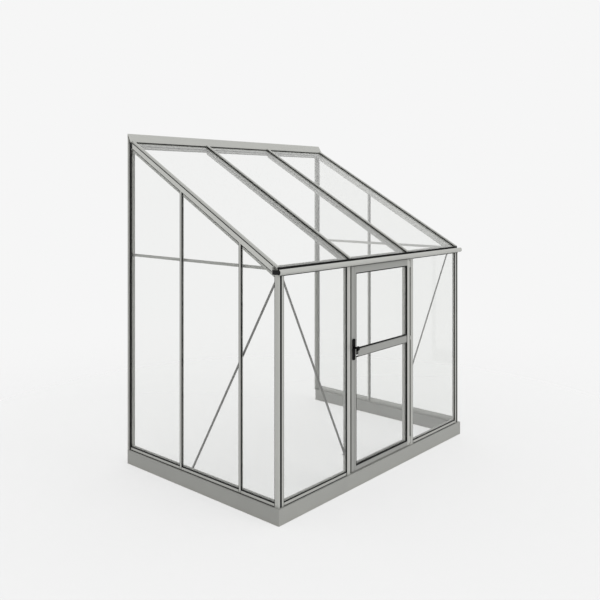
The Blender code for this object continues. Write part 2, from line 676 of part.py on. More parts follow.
def make_gable_bars():
    """Upright bars of the gables, raked under the end rafter's outer leg and cut back at its inner one."""
    outline = bar_outline()
    foot = FRAME_FOOT + SILL_FLOOR + SEAT_GAP
    step = [
        (-BAR_FLANGE, REBATE - SEAT_GAP), (BAR_FLANGE, REBATE - SEAT_GAP), (BAR_FLANGE, BAR_DEPTH * 2),
        (-BAR_FLANGE, BAR_DEPTH * 2),
    ]
    names = {"left": ("front", "rear"), "right": ("rear",)}
    for side, x, inward, bars in (
        ("left", -GABLE_X, X_AXIS, GABLE_BARS_LEFT), ("right", GABLE_X, -X_AXIS, GABLE_BARS_RIGHT),
    ):
        forward = inward.cross(Z_AXIS)
        for name, bar in zip(names[side], bars):
            y = FRONT_Y + bar
            rake = (forward.y * TAN_PITCH, 0.0)
            height = gable_line(y, END_RAFTER_FACE) - SEAT_GAP / COS_PITCH - foot
            piece = extrusion("gable_bar_" + side + "_" + name, outline, height,
                              MATERIALS["aluminium"], end=rake)
            place(piece, (x, y, foot), forward, inward)
            cut = extrusion(piece.name + "_cut", step, END_RAFTER_DEPTH, MATERIALS["aluminium"], rake)
            place(cut, (x, y, gable_line(y, END_RAFTER_DEPTH) - SEAT_GAP / COS_PITCH), forward, inward)
            combine(piece, hide_tool(cut), "DIFFERENCE")


def make_gable_rails():
    """Level rails inside the gables, from the eaves beam to the posts on the wall."""
    front = EAVES_BACK + SEAT_GAP
    back = WALL_Y - POST_WALL - SEAT_GAP
    height = EAVES_HEIGHT + GABLE_RAIL_RISE
    outline = [
        (INNER_LINE, 0.0), (INNER_LINE + GABLE_RAIL_THICKNESS, 0.0),
        (INNER_LINE + GABLE_RAIL_THICKNESS, GABLE_RAIL_HEIGHT), (INNER_LINE, GABLE_RAIL_HEIGHT),
    ]
    left = extrusion("gable_rail_left", outline, back - front, MATERIALS["aluminium"])
    place(left, (-GABLE_X, back, height), X_AXIS, Z_AXIS)
    right = extrusion("gable_rail_right", outline, back - front, MATERIALS["aluminium"])
    place(right, (GABLE_X, front, height), -X_AXIS, Z_AXIS)


def rafter_lines():
    """X of the cap lines of the rafters, from left to right."""
    edge = GABLE_X - END_RAFTER_AXIS
    return [-edge, -RAFTER_INSET, RAFTER_INSET, edge]


def make_rafters():
    """Rafters between the eaves beam and the ridge beam, with plumb cuts, and their caps."""
    front, back = EAVES_BACK + SEAT_GAP, RIDGE_FRONT - SEAT_GAP
    length = (back - front) / COS_PITCH
    plumb = (0.0, TAN_PITCH)
    lines = rafter_lines()
    names = ["left_end", "left", "right", "right_end"]
    for name, x in zip(names, lines):
        outline = rafter_outline()
        if name == "left_end":
            outline, x = mirrored(end_rafter_outline()), -GABLE_X
        if name == "right_end":
            outline, x = end_rafter_outline(), GABLE_X
        rafter = extrusion("rafter_" + name, outline, length, MATERIALS["aluminium"], plumb, plumb)
        place(rafter, (x, front, seat_height(front)), -X_AXIS, ROOF_NORMAL)
    low = EAVES_BACK - CAP_OVERHANG
    high = WALL_Y - FLASHING_DEPTH - SEAT_GAP
    for name, x in zip(names, lines):
        cap = extrusion("cap_" + name, cap_outline(), (high - low) / COS_PITCH,
                        MATERIALS["aluminium"], end=plumb)
        place(cap, (x, low, seat_height(low)), -X_AXIS, ROOF_NORMAL)


def make_long_pieces():
    """Eaves beam, gutter, ridge beam and ridge flashing, all along the front and the wall."""
    frame_run, full_run = 2 * GABLE_X, BASE_WIDTH
    for name, outline, run in (
        ("eaves_beam", eaves_outline(), frame_run), ("gutter", gutter_outline(), full_run),
        ("ridge_beam", ridge_outline(), frame_run), ("ridge_flashing", flashing_outline(), full_run),
    ):
        piece = extrusion(name, outline, run, MATERIALS["aluminium"])
        place(piece, (-run / 2, 0.0, 0.0), Y_AXIS, Z_AXIS)
        if name == "gutter":
            shade_round(piece)


def make_brace(name, origin, inward, top, foot, foot_cut):
    """A flat bar in a wall, from top to foot, its top cut level and its foot cut to its seat."""
    along = (foot - top).normalized()
    across = inward.cross(along)
    half = BRACE_WIDTH / 2
    outline = [(-half, 0.0), (half, 0.0), (half, BRACE_THICKNESS), (-half, BRACE_THICKNESS)]
    level = (-across.z / along.z, 0.0)
    seat = (-across.dot(foot_cut) / along.dot(foot_cut), 0.0)
    brace = extrusion(name, outline, (foot - top).length, MATERIALS["aluminium"], level, seat)
    return place(brace, origin + top + inward * INNER_LINE, across, inward)


def make_braces():
    """Wind braces: two in the front, one in the left gable."""
    head = EAVES_HEIGHT - SEAT_GAP
    left_end = DOOR_LEFT - LATCH_JAMB_FACE - JAMB_TUBE_REACH - SEAT_GAP
    right_end = DOOR_RIGHT + HINGE_JAMB_FACE + JAMB_TUBE_REACH + SEAT_GAP
    front = Vector((0.0, FRAME_FRONT, 0.0))
    make_brace("brace_front_left", front, Y_AXIS, Vector((BRACE_LEFT_HEAD - HALF_WIDTH, 0.0, head)),
               Vector((left_end, 0.0, BRACE_LEFT_FOOT)), X_AXIS)
    make_brace("brace_front_right", front, Y_AXIS, Vector((HALF_WIDTH - BRACE_RIGHT_HEAD, 0.0, head)),
               Vector((right_end, 0.0, BRACE_RIGHT_FOOT)), X_AXIS)
    gable = Vector((-GABLE_X, FRONT_Y, 0.0))
    make_brace("brace_gable_left", gable, X_AXIS, Vector((0.0, BRACE_GABLE_HEAD, head)),
               Vector((0.0, BRACE_GABLE_FOOT, FRAME_FOOT)), Z_AXIS)


def make_pane(name, outline, origin, across, up):
    """A sheet of glass, cut to an outline and laid with one face at the origin."""
    pane = extrusion(name, outline, GLASS, MATERIALS["glass"])
    return place(pane, origin, across, up)


def rectangle(width, low, high):
    """An upright rectangle, centred in X."""
    return [(-width / 2, low), (width / 2, low), (width / 2, high), (-width / 2, high)]


def make_front_panes():
    """The two fixed panes, one on each side of the door."""
    post = GABLE_X - POST_FACE + EDGE_COVER
    edges = (
        ("left", -post, DOOR_LEFT - LATCH_JAMB_FACE + EDGE_COVER),
        ("right", DOOR_RIGHT + HINGE_JAMB_FACE - EDGE_COVER, post),
    )
    low = FRAME_FOOT + SILL_FLOOR + SEAT_GAP
    high = EAVES_HEIGHT - SEAT_GAP
    back = FRAME_FRONT + WALL_GLASS_SET + GLASS
    for name, first, last in edges:
        outline = rectangle(last - first, low, high)
        make_pane("glass_front_" + name, outline, ((first + last) / 2, back, 0.0), X_AXIS, Z_AXIS)


def gable_pane_outline(front, back):
    """A gable pane in Y and Z, its top edge up in the end rafter, under the eaves and ridge beams."""
    low = FRAME_FOOT + SILL_FLOOR + SEAT_GAP
    first = max(front, EAVES_BACK + SEAT_GAP)
    last = min(back, RIDGE_FRONT - SEAT_GAP)
    outline = [(front, low), (back, low)]
    if back > last:
        outline += [(back, RIDGE_FOOT - SEAT_GAP), (last, RIDGE_FOOT - SEAT_GAP)]
    outline += [(y, gable_line(y, END_RAFTER_FACE - EDGE_COVER)) for y in (last, first)]
    if first > front:
        outline += [(first, EAVES_HEIGHT - SEAT_GAP), (front, EAVES_HEIGHT - SEAT_GAP)]
    return outline


def make_gable_panes():
    """One pane for each bay of the gables."""
    first = FRAME_FRONT + POST_SIDE_FACE - EDGE_COVER
    last = WALL_Y - WALL_POST_SLOT - EDGE_COVER * 2 / 3
    shift = BAR_FACE / 2 - EDGE_COVER * 2 / 3
    bays = {"left": ("front", "middle", "rear"), "right": ("front", "rear")}
    for side, x, bars in (
        ("left", -GABLE_X + WALL_GLASS_SET, GABLE_BARS_LEFT),
        ("right", GABLE_X - WALL_GLASS_SET - GLASS, GABLE_BARS_RIGHT),
    ):
        lines = [FRONT_Y + bar for bar in bars]
        fronts = [first] + [line + shift for line in lines]
        backs = [line - shift for line in lines] + [last]
        for name, front, back in zip(bays[side], fronts, backs):
            outline = gable_pane_outline(front, back)
            make_pane("glass_gable_" + side + "_" + name, outline, (x, 0.0, 0.0), Y_AXIS, Z_AXIS)


def make_roof_panes():
    """The sheets of the roof, from over the gutter up to under the flashing."""
    low = FRAME_FRONT + GLASS_DRIP
    length = (RIDGE_FRONT + RIDGE_GLASS_LAP - low) / COS_PITCH
    lines = rafter_lines()
    side = RAFTER_UPSTAND / 2 + GASKET
    for name, left, right in zip(("left", "middle", "right"), lines, lines[1:]):
        half = (right - left) / 2 - side
        outline = [(-half, SEAT_GAP), (half, SEAT_GAP), (half, SEAT_GAP + GLASS), (-half, SEAT_GAP + GLASS)]
        pane = extrusion("glass_roof_" + name, outline, length, MATERIALS["glass"])
        place(pane, ((left + right) / 2, low, seat_height(low)), -X_AXIS, ROOF_NORMAL)


def make_door(axis):
    """The leaf: two stiles, three rails, the cover of the mid rail and two panes."""
    metal = MATERIALS["aluminium"]
    height = LEAF_HEAD - LEAF_FOOT
    outline = stile_outline(LATCH_STILE_FACE, LATCH_STILE_BOX, True)
    latch = extrusion("door_stile_latch", outline, height, metal)
    ride_on(place(latch, (LEAF_LEFT, FRAME_FRONT, LEAF_FOOT), X_AXIS, Y_AXIS), axis)
    hinge = extrusion("door_stile_hinge", mirrored(hinge_stile_outline()), height, metal)
    ride_on(place(hinge, (LEAF_RIGHT, FRAME_FRONT, LEAF_FOOT), X_AXIS, Y_AXIS), axis)
    shade_round(hinge)
    block = HINGE_BLOCK_HEIGHT + HINGE_BLOCK_GAP
    barrel = block + BARREL_LENGTH
    for name, low, high in (
        ("top", EAVES_HEIGHT - block, EAVES_HEIGHT),
        ("middle", BASE_HEIGHT + barrel, EAVES_HEIGHT - barrel),
        ("bottom", BASE_HEIGHT, BASE_HEIGHT + block),
    ):
        corner = (LEAF_RIGHT + SEAT_GAP, FRAME_FRONT - BARREL_RADIUS, low)
        tool = box_cutter("barrel_cut_" + name, corner, (DOOR_RIGHT, FRAME_FRONT + LEAF_DEPTH, high))
        combine(hinge, ride_on(tool, axis), "DIFFERENCE")

    left = LEAF_LEFT + LATCH_STILE_FACE + SEAT_GAP
    right = LEAF_RIGHT - HINGE_STILE_FACE - SEAT_GAP
    box_front = FRAME_FRONT + DOOR_GLASS_SET + GLASS
    box_left = LEAF_RIGHT - HINGE_STILE_BOX - SEAT_GAP
    top = [(v, -w) for v, w in reversed(rail_outline(TOP_RAIL_FACE, TOP_RAIL_FACE))]
    for name, outline, z in (
        ("door_rail_bottom", rail_outline(BOTTOM_RAIL_FACE, BOTTOM_RAIL_BOX), LEAF_FOOT),
        ("door_rail_middle", mid_rail_outline(), MID_RAIL_Z),
        ("door_rail_top", top, LEAF_HEAD),
    ):
        rail = extrusion(name, outline, right - left, metal)
        ride_on(place(rail, (left, FRAME_FRONT, z), Y_AXIS, Z_AXIS), axis)
        corner = (box_left, box_front, z - BOTTOM_RAIL_BOX)
        tool = box_cutter(name + "_cut", corner, (LEAF_RIGHT, JAMB_DEPTH + FRAME_FRONT, z + BOTTOM_RAIL_BOX))
        combine(rail, ride_on(tool, axis), "DIFFERENCE")
    first, last = left + MID_COVER_START, right - MID_COVER_SHORT
    cover = extrusion("door_rail_cover", mid_cover_outline(), last - first, metal)
    ride_on(place(cover, (first, FRAME_FRONT, MID_RAIL_Z), Y_AXIS, Z_AXIS), axis)

    first = LEAF_LEFT + LATCH_STILE_FACE - EDGE_COVER
    last = LEAF_RIGHT - HINGE_STILE_FACE + EDGE_COVER
    neck = MID_RAIL_WEB / 2 + GASKET
    for name, low, high in (
        ("lower", LEAF_FOOT + BOTTOM_RAIL_FACE - EDGE_COVER, MID_RAIL_Z - neck),
        ("upper", MID_RAIL_Z + neck, LEAF_HEAD - TOP_RAIL_FACE + EDGE_COVER),
    ):
        outline = rectangle(last - first, low, high)
        back = FRAME_FRONT + DOOR_GLASS_SET + GLASS
        pane = make_pane("glass_door_" + name, outline, ((first + last) / 2, back, 0.0), X_AXIS, Z_AXIS)
        ride_on(pane, axis)


def make_hinges():
    """Hinge blocks on the jamb, above and below the barrel, each with a pin that enters it."""
    width = HINGE_SET + BARREL_RADIUS - SEAT_GAP
    depth = 2 * BARREL_RADIUS
    for name, z, direction in (
        ("hinge_top", EAVES_HEIGHT - SEAT_GAP - HINGE_BLOCK_HEIGHT, -1.0),
        ("hinge_bottom", FRAME_FOOT, 1.0),
    ):
        outline = [(0.0, 0.0), (width, 0.0), (width, depth), (0.0, depth)]
        block = extrusion(name, outline, HINGE_BLOCK_HEIGHT, MATERIALS["aluminium"])
        place(block, (HINGE_X - BARREL_RADIUS, HINGE_Y - BARREL_RADIUS, z), X_AXIS, Y_AXIS)
        middle = z + HINGE_BLOCK_HEIGHT / 2
        circle = arc((0.0, 0.0), PIN_RADIUS, 0.0, 2 * math.pi, 16)[:-1]
        length = HINGE_BLOCK_HEIGHT / 2 + PIN_LENGTH
        pin = extrusion(name + "_pin", circle, length, MATERIALS["aluminium"])
        low = middle if direction > 0 else middle - length
        place(pin, (HINGE_X, HINGE_Y, low), X_AXIS, Y_AXIS)
        combine(block, hide_tool(pin), "UNION")


def make_lock(axis):
    """Lock plate on the latch stile and the knob that turns in it."""
    metal = MATERIALS["black"]
    x = LEAF_LEFT + PLATE_SET
    plate = extrusion("lock_plate", plate_outline(), PLATE_THICKNESS, metal)
    place(plate, (x, FRAME_FRONT - SEAT_GAP, PLATE_Z), X_AXIS, Z_AXIS)
    circle = arc((0.0, 0.0), SPINDLE_RADIUS + SPINDLE_PLAY, 0.0, 2 * math.pi, ROUND_STEPS)[:-1]
    bore = extrusion("lock_plate_bore", circle, PLATE_THICKNESS * 2, metal)
    place(bore, (x, FRAME_FRONT + PLATE_THICKNESS / 2, KNOB_Z), X_AXIS, Z_AXIS)
    combine(plate, ride_on(hide_tool(bore), axis), "DIFFERENCE")
    ride_on(plate, axis)
    shade_round(plate)
    knob = turned_piece("knob", knob_profile(), metal)
    ride_on(place(knob, (x, FRAME_FRONT, KNOB_Z), X_AXIS, Z_AXIS), axis)
    shade_round(knob)


def knob_profile():
    """Half section of the knob, as radius and distance in front of the leaf."""
    face = KNOB_REACH
    back = KNOB_REACH - KNOB_THICKNESS
    soft = KNOB_ROUNDING
    plate = PLATE_THICKNESS + SEAT_GAP * 2
    rim = arc((KNOB_RADIUS - soft, back + soft), soft, -math.pi / 2, 0.0, 4)
    crown = arc((KNOB_RADIUS - soft, face - soft), soft, 0.0, math.pi / 2, 4)
    return [
        (0.0, SEAT_GAP), (SPINDLE_RADIUS, SEAT_GAP), (SPINDLE_RADIUS, plate),
        (KNOB_NECK_RADIUS, plate), (KNOB_NECK_RADIUS * 0.8, (plate + back) / 2),
        (KNOB_NECK_RADIUS, back),
    ] + rim + crown + [(0.0, face)]


def turned_piece(name, profile, material):
    """Turn a half section round local Z."""
    shape = bmesh.new()
    verts = [shape.verts.new((radius, 0.0, height)) for radius, height in profile]
    edges = [shape.edges.new(pair) for pair in zip(verts, verts[1:])]
    bmesh.ops.spin(shape, geom=verts + edges, cent=(0.0, 0.0, 0.0), axis=(0.0, 0.0, 1.0),
                   angle=2 * math.pi, steps=ROUND_STEPS, use_merge=True)
    bmesh.ops.remove_doubles(shape, verts=shape.verts, dist=0.00001)
    bmesh.ops.recalc_face_normals(shape, faces=shape.faces)
    mesh_data = bpy.data.meshes.new(name)
    shape.to_mesh(mesh_data)
    shape.free()
    return link(mesh_data, name, material)


clear_scene()
MATERIALS = {
    "aluminium": make_material("aluminium", (0.62, 0.65, 0.63), 0.42, 0.6),
    "base": make_material("base", (0.36, 0.38, 0.37), 0.55, 0.5),
    "glass": make_material("glass", (0.92, 0.95, 0.94), 0.03, 0.0, 0.95),
    "black": make_material("black", (0.02, 0.02, 0.02), 0.40, 0.2),
}
door_axis = bpy.data.objects.new("door_axis", None)
door_axis.location = (HINGE_X, HINGE_Y, 0.0)
bpy.context.scene.collection.objects.link(door_axis)

make_base()
make_sills()
make_posts()
make_jambs()
make_gable_bars()
make_gable_rails()
make_rafters()
make_long_pieces()
make_braces()
make_front_panes()
make_gable_panes()
make_roof_panes()
make_door(door_axis)
make_hinges()
make_lock(door_axis)
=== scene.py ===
"""The look of a lean-to greenhouse: finishes, glazing rubber, fasteners, floor, light and camera.

Metres. X runs along the front, Y from the front to the house wall, Z up.
"""

import math

import bmesh
import bpy
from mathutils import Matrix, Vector


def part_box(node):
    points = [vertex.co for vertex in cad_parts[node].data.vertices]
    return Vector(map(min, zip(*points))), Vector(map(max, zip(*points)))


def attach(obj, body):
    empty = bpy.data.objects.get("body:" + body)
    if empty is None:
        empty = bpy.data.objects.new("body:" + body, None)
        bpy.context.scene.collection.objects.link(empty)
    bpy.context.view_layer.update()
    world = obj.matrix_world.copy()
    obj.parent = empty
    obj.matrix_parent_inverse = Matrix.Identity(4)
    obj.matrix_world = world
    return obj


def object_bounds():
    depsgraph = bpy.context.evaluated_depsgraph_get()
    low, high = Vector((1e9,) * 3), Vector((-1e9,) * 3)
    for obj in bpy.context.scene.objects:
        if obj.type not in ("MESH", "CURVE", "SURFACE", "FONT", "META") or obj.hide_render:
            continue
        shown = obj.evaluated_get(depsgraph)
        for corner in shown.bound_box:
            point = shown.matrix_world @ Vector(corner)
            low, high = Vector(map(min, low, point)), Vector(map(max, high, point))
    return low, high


bl_info = {
    "name": "Lean-to Greenhouse",
    "version": (1, 0, 0),
    "blender": (4, 5, 0),
    "location": "3D View > Sidebar > Greenhouse",
    "description": "Dresses the frame of a lean-to greenhouse and sets up its studio",
    "category": "Object",
}

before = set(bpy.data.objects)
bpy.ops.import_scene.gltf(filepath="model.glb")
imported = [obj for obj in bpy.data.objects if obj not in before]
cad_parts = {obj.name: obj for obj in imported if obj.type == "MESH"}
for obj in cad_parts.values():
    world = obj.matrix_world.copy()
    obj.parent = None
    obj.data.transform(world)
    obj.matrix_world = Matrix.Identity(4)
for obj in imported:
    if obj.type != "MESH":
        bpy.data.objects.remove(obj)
CAD_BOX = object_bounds()

# What the frame's own pieces say
GABLE_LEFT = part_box("corner_post_left")[0].x
GABLE_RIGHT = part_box("corner_post_right")[1].x
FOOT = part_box("base_front")[1].z
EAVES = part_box("eaves_beam")[0].z
PANE_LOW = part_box("glass_roof_middle")[0]
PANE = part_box("glass_front_left")[1].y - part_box("glass_front_left")[0].y
GABLE_TOPS = [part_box("glass_gable_left_" + name)[1] for name in ("front", "middle")]
PITCH = math.atan2(GABLE_TOPS[1].z - GABLE_TOPS[0].z, GABLE_TOPS[1].y - GABLE_TOPS[0].y)
UP_ROOF = Vector((0.0, math.cos(PITCH), math.sin(PITCH)))
OFF_ROOF = Vector((0.0, -math.sin(PITCH), math.cos(PITCH)))
RAFTERS = ("left_end", "left", "right", "right_end")

QUARTER = math.radians(90)
UNTURNED = (0.0, 0.0, 0.0)


# Helpers for modelling


def deselect():
    """Leave edit mode and select nothing."""
    if bpy.context.object and bpy.context.object.mode != "OBJECT":
        bpy.ops.object.mode_set(mode="OBJECT")
    bpy.ops.object.select_all(action="DESELECT")


def keep_place(piece, name):
    """Name the active object and put its place, turn and size into its mesh."""
    piece.name = name
    piece.data.name = name
    bpy.ops.object.transform_apply(location=True, rotation=True, scale=True)
    return piece


def pick_edges(piece, test):
    """In edit mode, select the edges whose two ends pass a test."""
    bpy.ops.mesh.select_all(action="DESELECT")
    bpy.ops.mesh.select_mode(type="EDGE")
    shape = bmesh.from_edit_mesh(piece.data)
    for edge in shape.edges:
        if all(test(vert.co) for vert in edge.verts):
            edge.select_set(True)
    bmesh.update_edit_mesh(piece.data)


def pick_faces(piece, test):
    """In edit mode, select the faces whose centre and normal pass a test."""
    bpy.ops.mesh.select_all(action="DESELECT")
    bpy.ops.mesh.select_mode(type="FACE")
    shape = bmesh.from_edit_mesh(piece.data)
    for face in shape.faces:
        face.select_set(test(face.calc_center_median(), face.normal))
    bmesh.update_edit_mesh(piece.data)


# Finishes


def new_material(name):
    """A material with its shader, its output and object coordinates."""
    material = bpy.data.materials.new(name)
    material.use_nodes = True
    nodes, links = material.node_tree.nodes, material.node_tree.links
    place = nodes.new("ShaderNodeTexCoord")
    return material, nodes, links, nodes["Principled BSDF"], place.outputs["Object"]


def surface_group():
    """Slow changes of tone, fine grain and a height for bumps, shared by every finish."""
    if "surface_variation" in bpy.data.node_groups:
        return bpy.data.node_groups["surface_variation"]
    group = bpy.data.node_groups.new("surface_variation", "ShaderNodeTree")
    sockets = group.interface
    sockets.new_socket("Place", in_out="INPUT", socket_type="NodeSocketVector")
    sockets.new_socket("Grain Place", in_out="INPUT", socket_type="NodeSocketVector")
    for name, value in (
        ("Cloud Size", 3.0), ("Grain Size", 90.0), ("Tone", 0.10), ("Grain", 0.05),
        ("Roughness", 0.4), ("Roughness Change", 0.1),
    ):
        sockets.new_socket(name, in_out="INPUT", socket_type="NodeSocketFloat").default_value = value
    sockets.new_socket("Colour", in_out="INPUT", socket_type="NodeSocketColor")
    sockets.new_socket("Colour", in_out="OUTPUT", socket_type="NodeSocketColor")
    sockets.new_socket("Roughness", in_out="OUTPUT", socket_type="NodeSocketFloat")
    sockets.new_socket("Height", in_out="OUTPUT", socket_type="NodeSocketFloat")
    nodes, links = group.nodes, group.links
    given, made = nodes.new("NodeGroupInput"), nodes.new("NodeGroupOutput")
    cloud = nodes.new("ShaderNodeTexNoise")
    cloud.inputs["Detail"].default_value = 4.0
    grain = nodes.new("ShaderNodeTexNoise")
    grain.inputs["Detail"].default_value = 2.0
    links.new(given.outputs["Place"], cloud.inputs["Vector"])
    links.new(given.outputs["Cloud Size"], cloud.inputs["Scale"])
    links.new(given.outputs["Grain Place"], grain.inputs["Vector"])
    links.new(given.outputs["Grain Size"], grain.inputs["Scale"])

    def number(operation, first, second):
        node = nodes.new("ShaderNodeMath")
        node.operation = operation
        for socket, value in zip(node.inputs, (first, second)):
            if isinstance(value, float):
                socket.default_value = value
            else:
                links.new(value, socket)
        return node.outputs[0]

    slow = number("SUBTRACT", cloud.outputs["Fac"], 0.5)
    fine = number("SUBTRACT", grain.outputs["Fac"], 0.5)
    tone = number("ADD", number("MULTIPLY", slow, given.outputs["Tone"]),
                  number("MULTIPLY", fine, given.outputs["Grain"]))
    level = number("ADD", tone, 1.0)
    mix = nodes.new("ShaderNodeVectorMath")
    mix.operation = "SCALE"
    links.new(given.outputs["Colour"], mix.inputs[0])
    links.new(level, mix.inputs["Scale"])
    links.new(mix.outputs[0], made.inputs["Colour"])
    change = number("MULTIPLY", number("ADD", slow, fine), given.outputs["Roughness Change"])
    links.new(number("ADD", change, given.outputs["Roughness"]), made.inputs["Roughness"])
    links.new(grain.outputs["Fac"], made.inputs["Height"])
    return group


def varied(nodes, links, place, colour, values, stretch=(1.0, 1.0, 1.0), turn=0.0):
    """Add the shared variation. stretch pulls the grain out along a piece, turn tips it to the roof."""
    mapping = nodes.new("ShaderNodeMapping")
    mapping.inputs["Rotation"].default_value = (-turn, 0.0, 0.0)
    squeeze = nodes.new("ShaderNodeVectorMath")
    squeeze.operation = "MULTIPLY"
    squeeze.inputs[1].default_value = stretch
    group = nodes.new("ShaderNodeGroup")
    group.node_tree = surface_group()
    group.inputs["Colour"].default_value = (*colour, 1.0)
    for name, value in values.items():
        group.inputs[name].default_value = value
    links.new(place, mapping.inputs["Vector"])
    links.new(mapping.outputs[0], squeeze.inputs[0])
    links.new(place, group.inputs["Place"])
    links.new(squeeze.outputs[0], group.inputs["Grain Place"])
    return group


def add_bump(nodes, links, shader, height, strength, distance):
    """Let a height roughen a shader's normal."""
    bump = nodes.new("ShaderNodeBump")
    bump.inputs["Strength"].default_value = strength
    bump.inputs["Distance"].default_value = distance
    links.new(height, bump.inputs["Height"])
    links.new(bump.outputs[0], shader.inputs["Normal"])


def extruded_aluminium(name, colour, stretch, turn=0.0):
    """Satin mill aluminium with faint draw lines along the section."""
    material, nodes, links, shader, place = new_material(name)
    values = {"Cloud Size": 2.6, "Grain Size": 120.0, "Tone": 0.16, "Grain": 0.07,
              "Roughness": 0.44, "Roughness Change": 0.20}
    group = varied(nodes, links, place, colour, values, stretch, turn)
    shader.inputs["Metallic"].default_value = 0.35
    links.new(group.outputs["Colour"], shader.inputs["Base Color"])
    links.new(group.outputs["Roughness"], shader.inputs["Roughness"])
    add_bump(nodes, links, shader, group.outputs["Height"], 0.10, 0.0004)
    return material


def base_metal(colour, soil_colour):
    """Grey coated steel with soil thrown up along its foot."""
    material, nodes, links, shader, place = new_material("coated_steel")
    values = {"Cloud Size": 5.0, "Grain Size": 240.0, "Tone": 0.18, "Grain": 0.10,
              "Roughness": 0.52, "Roughness Change": 0.18}
    group = varied(nodes, links, place, colour, values)
    split = nodes.new("ShaderNodeSeparateXYZ")
    low = nodes.new("ShaderNodeMapRange")
    low.inputs["From Min"].default_value = 0.0
    low.inputs["From Max"].default_value = FOOT * 0.35
    low.inputs["To Min"].default_value = 0.35
    low.inputs["To Max"].default_value = 0.0
    blotch = nodes.new("ShaderNodeTexNoise")
    blotch.inputs["Scale"].default_value = 22.0
    amount = nodes.new("ShaderNodeMath")
    amount.operation = "MULTIPLY"
    soil = nodes.new("ShaderNodeMix")
    soil.data_type = "RGBA"
    soil.inputs["B"].default_value = (*soil_colour, 1.0)
    links.new(place, split.inputs[0])
    links.new(place, blotch.inputs["Vector"])
    links.new(split.outputs["Z"], low.inputs["Value"])
    links.new(low.outputs[0], amount.inputs[0])
    links.new(blotch.outputs["Fac"], amount.inputs[1])
    links.new(amount.outputs[0], soil.inputs["Factor"])
    links.new(group.outputs["Colour"], soil.inputs["A"])
    links.new(soil.outputs["Result"], shader.inputs["Base Color"])
    links.new(group.outputs["Roughness"], shader.inputs["Roughness"])
    shader.inputs["Metallic"].default_value = 0.15
    add_bump(nodes, links, shader, group.outputs["Height"], 0.15, 0.0004)
    return material


def clear_glass(colour):
    """Float glass, a little wavy, with faint drying marks."""
    material, nodes, links, shader, place = new_material("float_glass")
    values = {"Cloud Size": 1.3, "Grain Size": 16.0, "Tone": 0.012, "Grain": 0.006,
              "Roughness": 0.015, "Roughness Change": 0.02}
    group = varied(nodes, links, place, colour, values)
    shader.inputs["Metallic"].default_value = 0.0
    shader.inputs["Transmission Weight"].default_value = 1.0
    shader.inputs["IOR"].default_value = 1.45
    links.new(group.outputs["Colour"], shader.inputs["Base Color"])
    links.new(group.outputs["Roughness"], shader.inputs["Roughness"])
    add_bump(nodes, links, shader, group.outputs["Height"], 0.02, 0.0004)
    path = nodes.new("ShaderNodeLightPath")
    clear = nodes.new("ShaderNodeBsdfTransparent")
    clear.inputs["Color"].default_value = (*colour, 1.0)
    either = nodes.new("ShaderNodeMixShader")
    links.new(path.outputs["Is Shadow Ray"], either.inputs[0])
    links.new(shader.outputs[0], either.inputs[1])
    links.new(clear.outputs[0], either.inputs[2])
    links.new(either.outputs[0], nodes["Material Output"].inputs["Surface"])
    return material


def plain_finish(name, colour, roughness, metallic, bump, gloss=0.5):
    """Rubber, black coating or zinc: an even finish with fine grain."""
    material, nodes, links, shader, place = new_material(name)
    values = {"Cloud Size": 9.0, "Grain Size": 420.0, "Tone": 0.25, "Grain": 0.15,
              "Roughness": roughness, "Roughness Change": 0.16}
    group = varied(nodes, links, place, colour, values)
    shader.inputs["Metallic"].default_value = metallic
    shader.inputs["Specular IOR Level"].default_value = gloss
    links.new(group.outputs["Colour"], shader.inputs["Base Color"])
    links.new(group.outputs["Roughness"], shader.inputs["Roughness"])
    add_bump(nodes, links, shader, group.outputs["Height"], bump, 0.0003)
    return material


def finish_named(name):
    """A finish that an earlier step has made."""
    material = bpy.data.materials.get(name)
    if material is None:
        raise RuntimeError("The finishes are made before the pieces that take them")
    return material


# Settings


class FinishSettings(bpy.types.PropertyGroup):
    """Colours of the greenhouse."""

    aluminium: bpy.props.FloatVectorProperty(
        name="Aluminium", description="Colour of the frame", subtype="COLOR", size=3,
        min=0.0, max=1.0, default=(0.478, 0.482, 0.456))
    # Lighter than the frame's colour: painted light on the end rafters, whose faces catch more light.
    verge: bpy.props.FloatVectorProperty(
        name="End Rafters", description="Colour of the end rafters", subtype="COLOR", size=3,
        min=0.0, max=1.0, default=(0.570, 0.575, 0.545))
    # Darker than the frame's colour: painted shade on the door leaf's latch stile and rails.
    leaf: bpy.props.FloatVectorProperty(
        name="Door Leaf", description="Colour of the door's frame", subtype="COLOR", size=3,
        min=0.0, max=1.0, default=(0.322, 0.325, 0.308))
    # Much darker than the frame's colour: painted shade on the braces.
    braces_painted_shade: bpy.props.FloatVectorProperty(
        name="Braces", description="Colour of the thin braces", subtype="COLOR", size=3,
        min=0.0, max=1.0, default=(0.20, 0.20, 0.19))
    base: bpy.props.FloatVectorProperty(
        name="Base", description="Colour of the base", subtype="COLOR", size=3,
        min=0.0, max=1.0, default=(0.325, 0.327, 0.308))
    soil: bpy.props.FloatVectorProperty(
        name="Soil", description="Colour of the soil on the base's foot", subtype="COLOR", size=3,
        min=0.0, max=1.0, default=(0.26, 0.24, 0.21))
    glass: bpy.props.FloatVectorProperty(
        name="Glass", description="Tint of one pane", subtype="COLOR", size=3,
        min=0.0, max=1.0, default=(0.945, 0.950, 0.942))
    black: bpy.props.FloatVectorProperty(
        name="Black Coating", description="Colour of the lock plate and knob", subtype="COLOR", size=3,
        min=0.0, max=1.0, default=(0.004, 0.004, 0.004))
    rubber: bpy.props.FloatVectorProperty(
        name="Rubber", description="Colour of the glazing rubber", subtype="COLOR", size=3,
        min=0.0, max=1.0, default=(0.012, 0.012, 0.012))
    zinc: bpy.props.FloatVectorProperty(
        name="Zinc", description="Colour of the nuts", subtype="COLOR", size=3,
        min=0.0, max=1.0, default=(0.50, 0.51, 0.52))


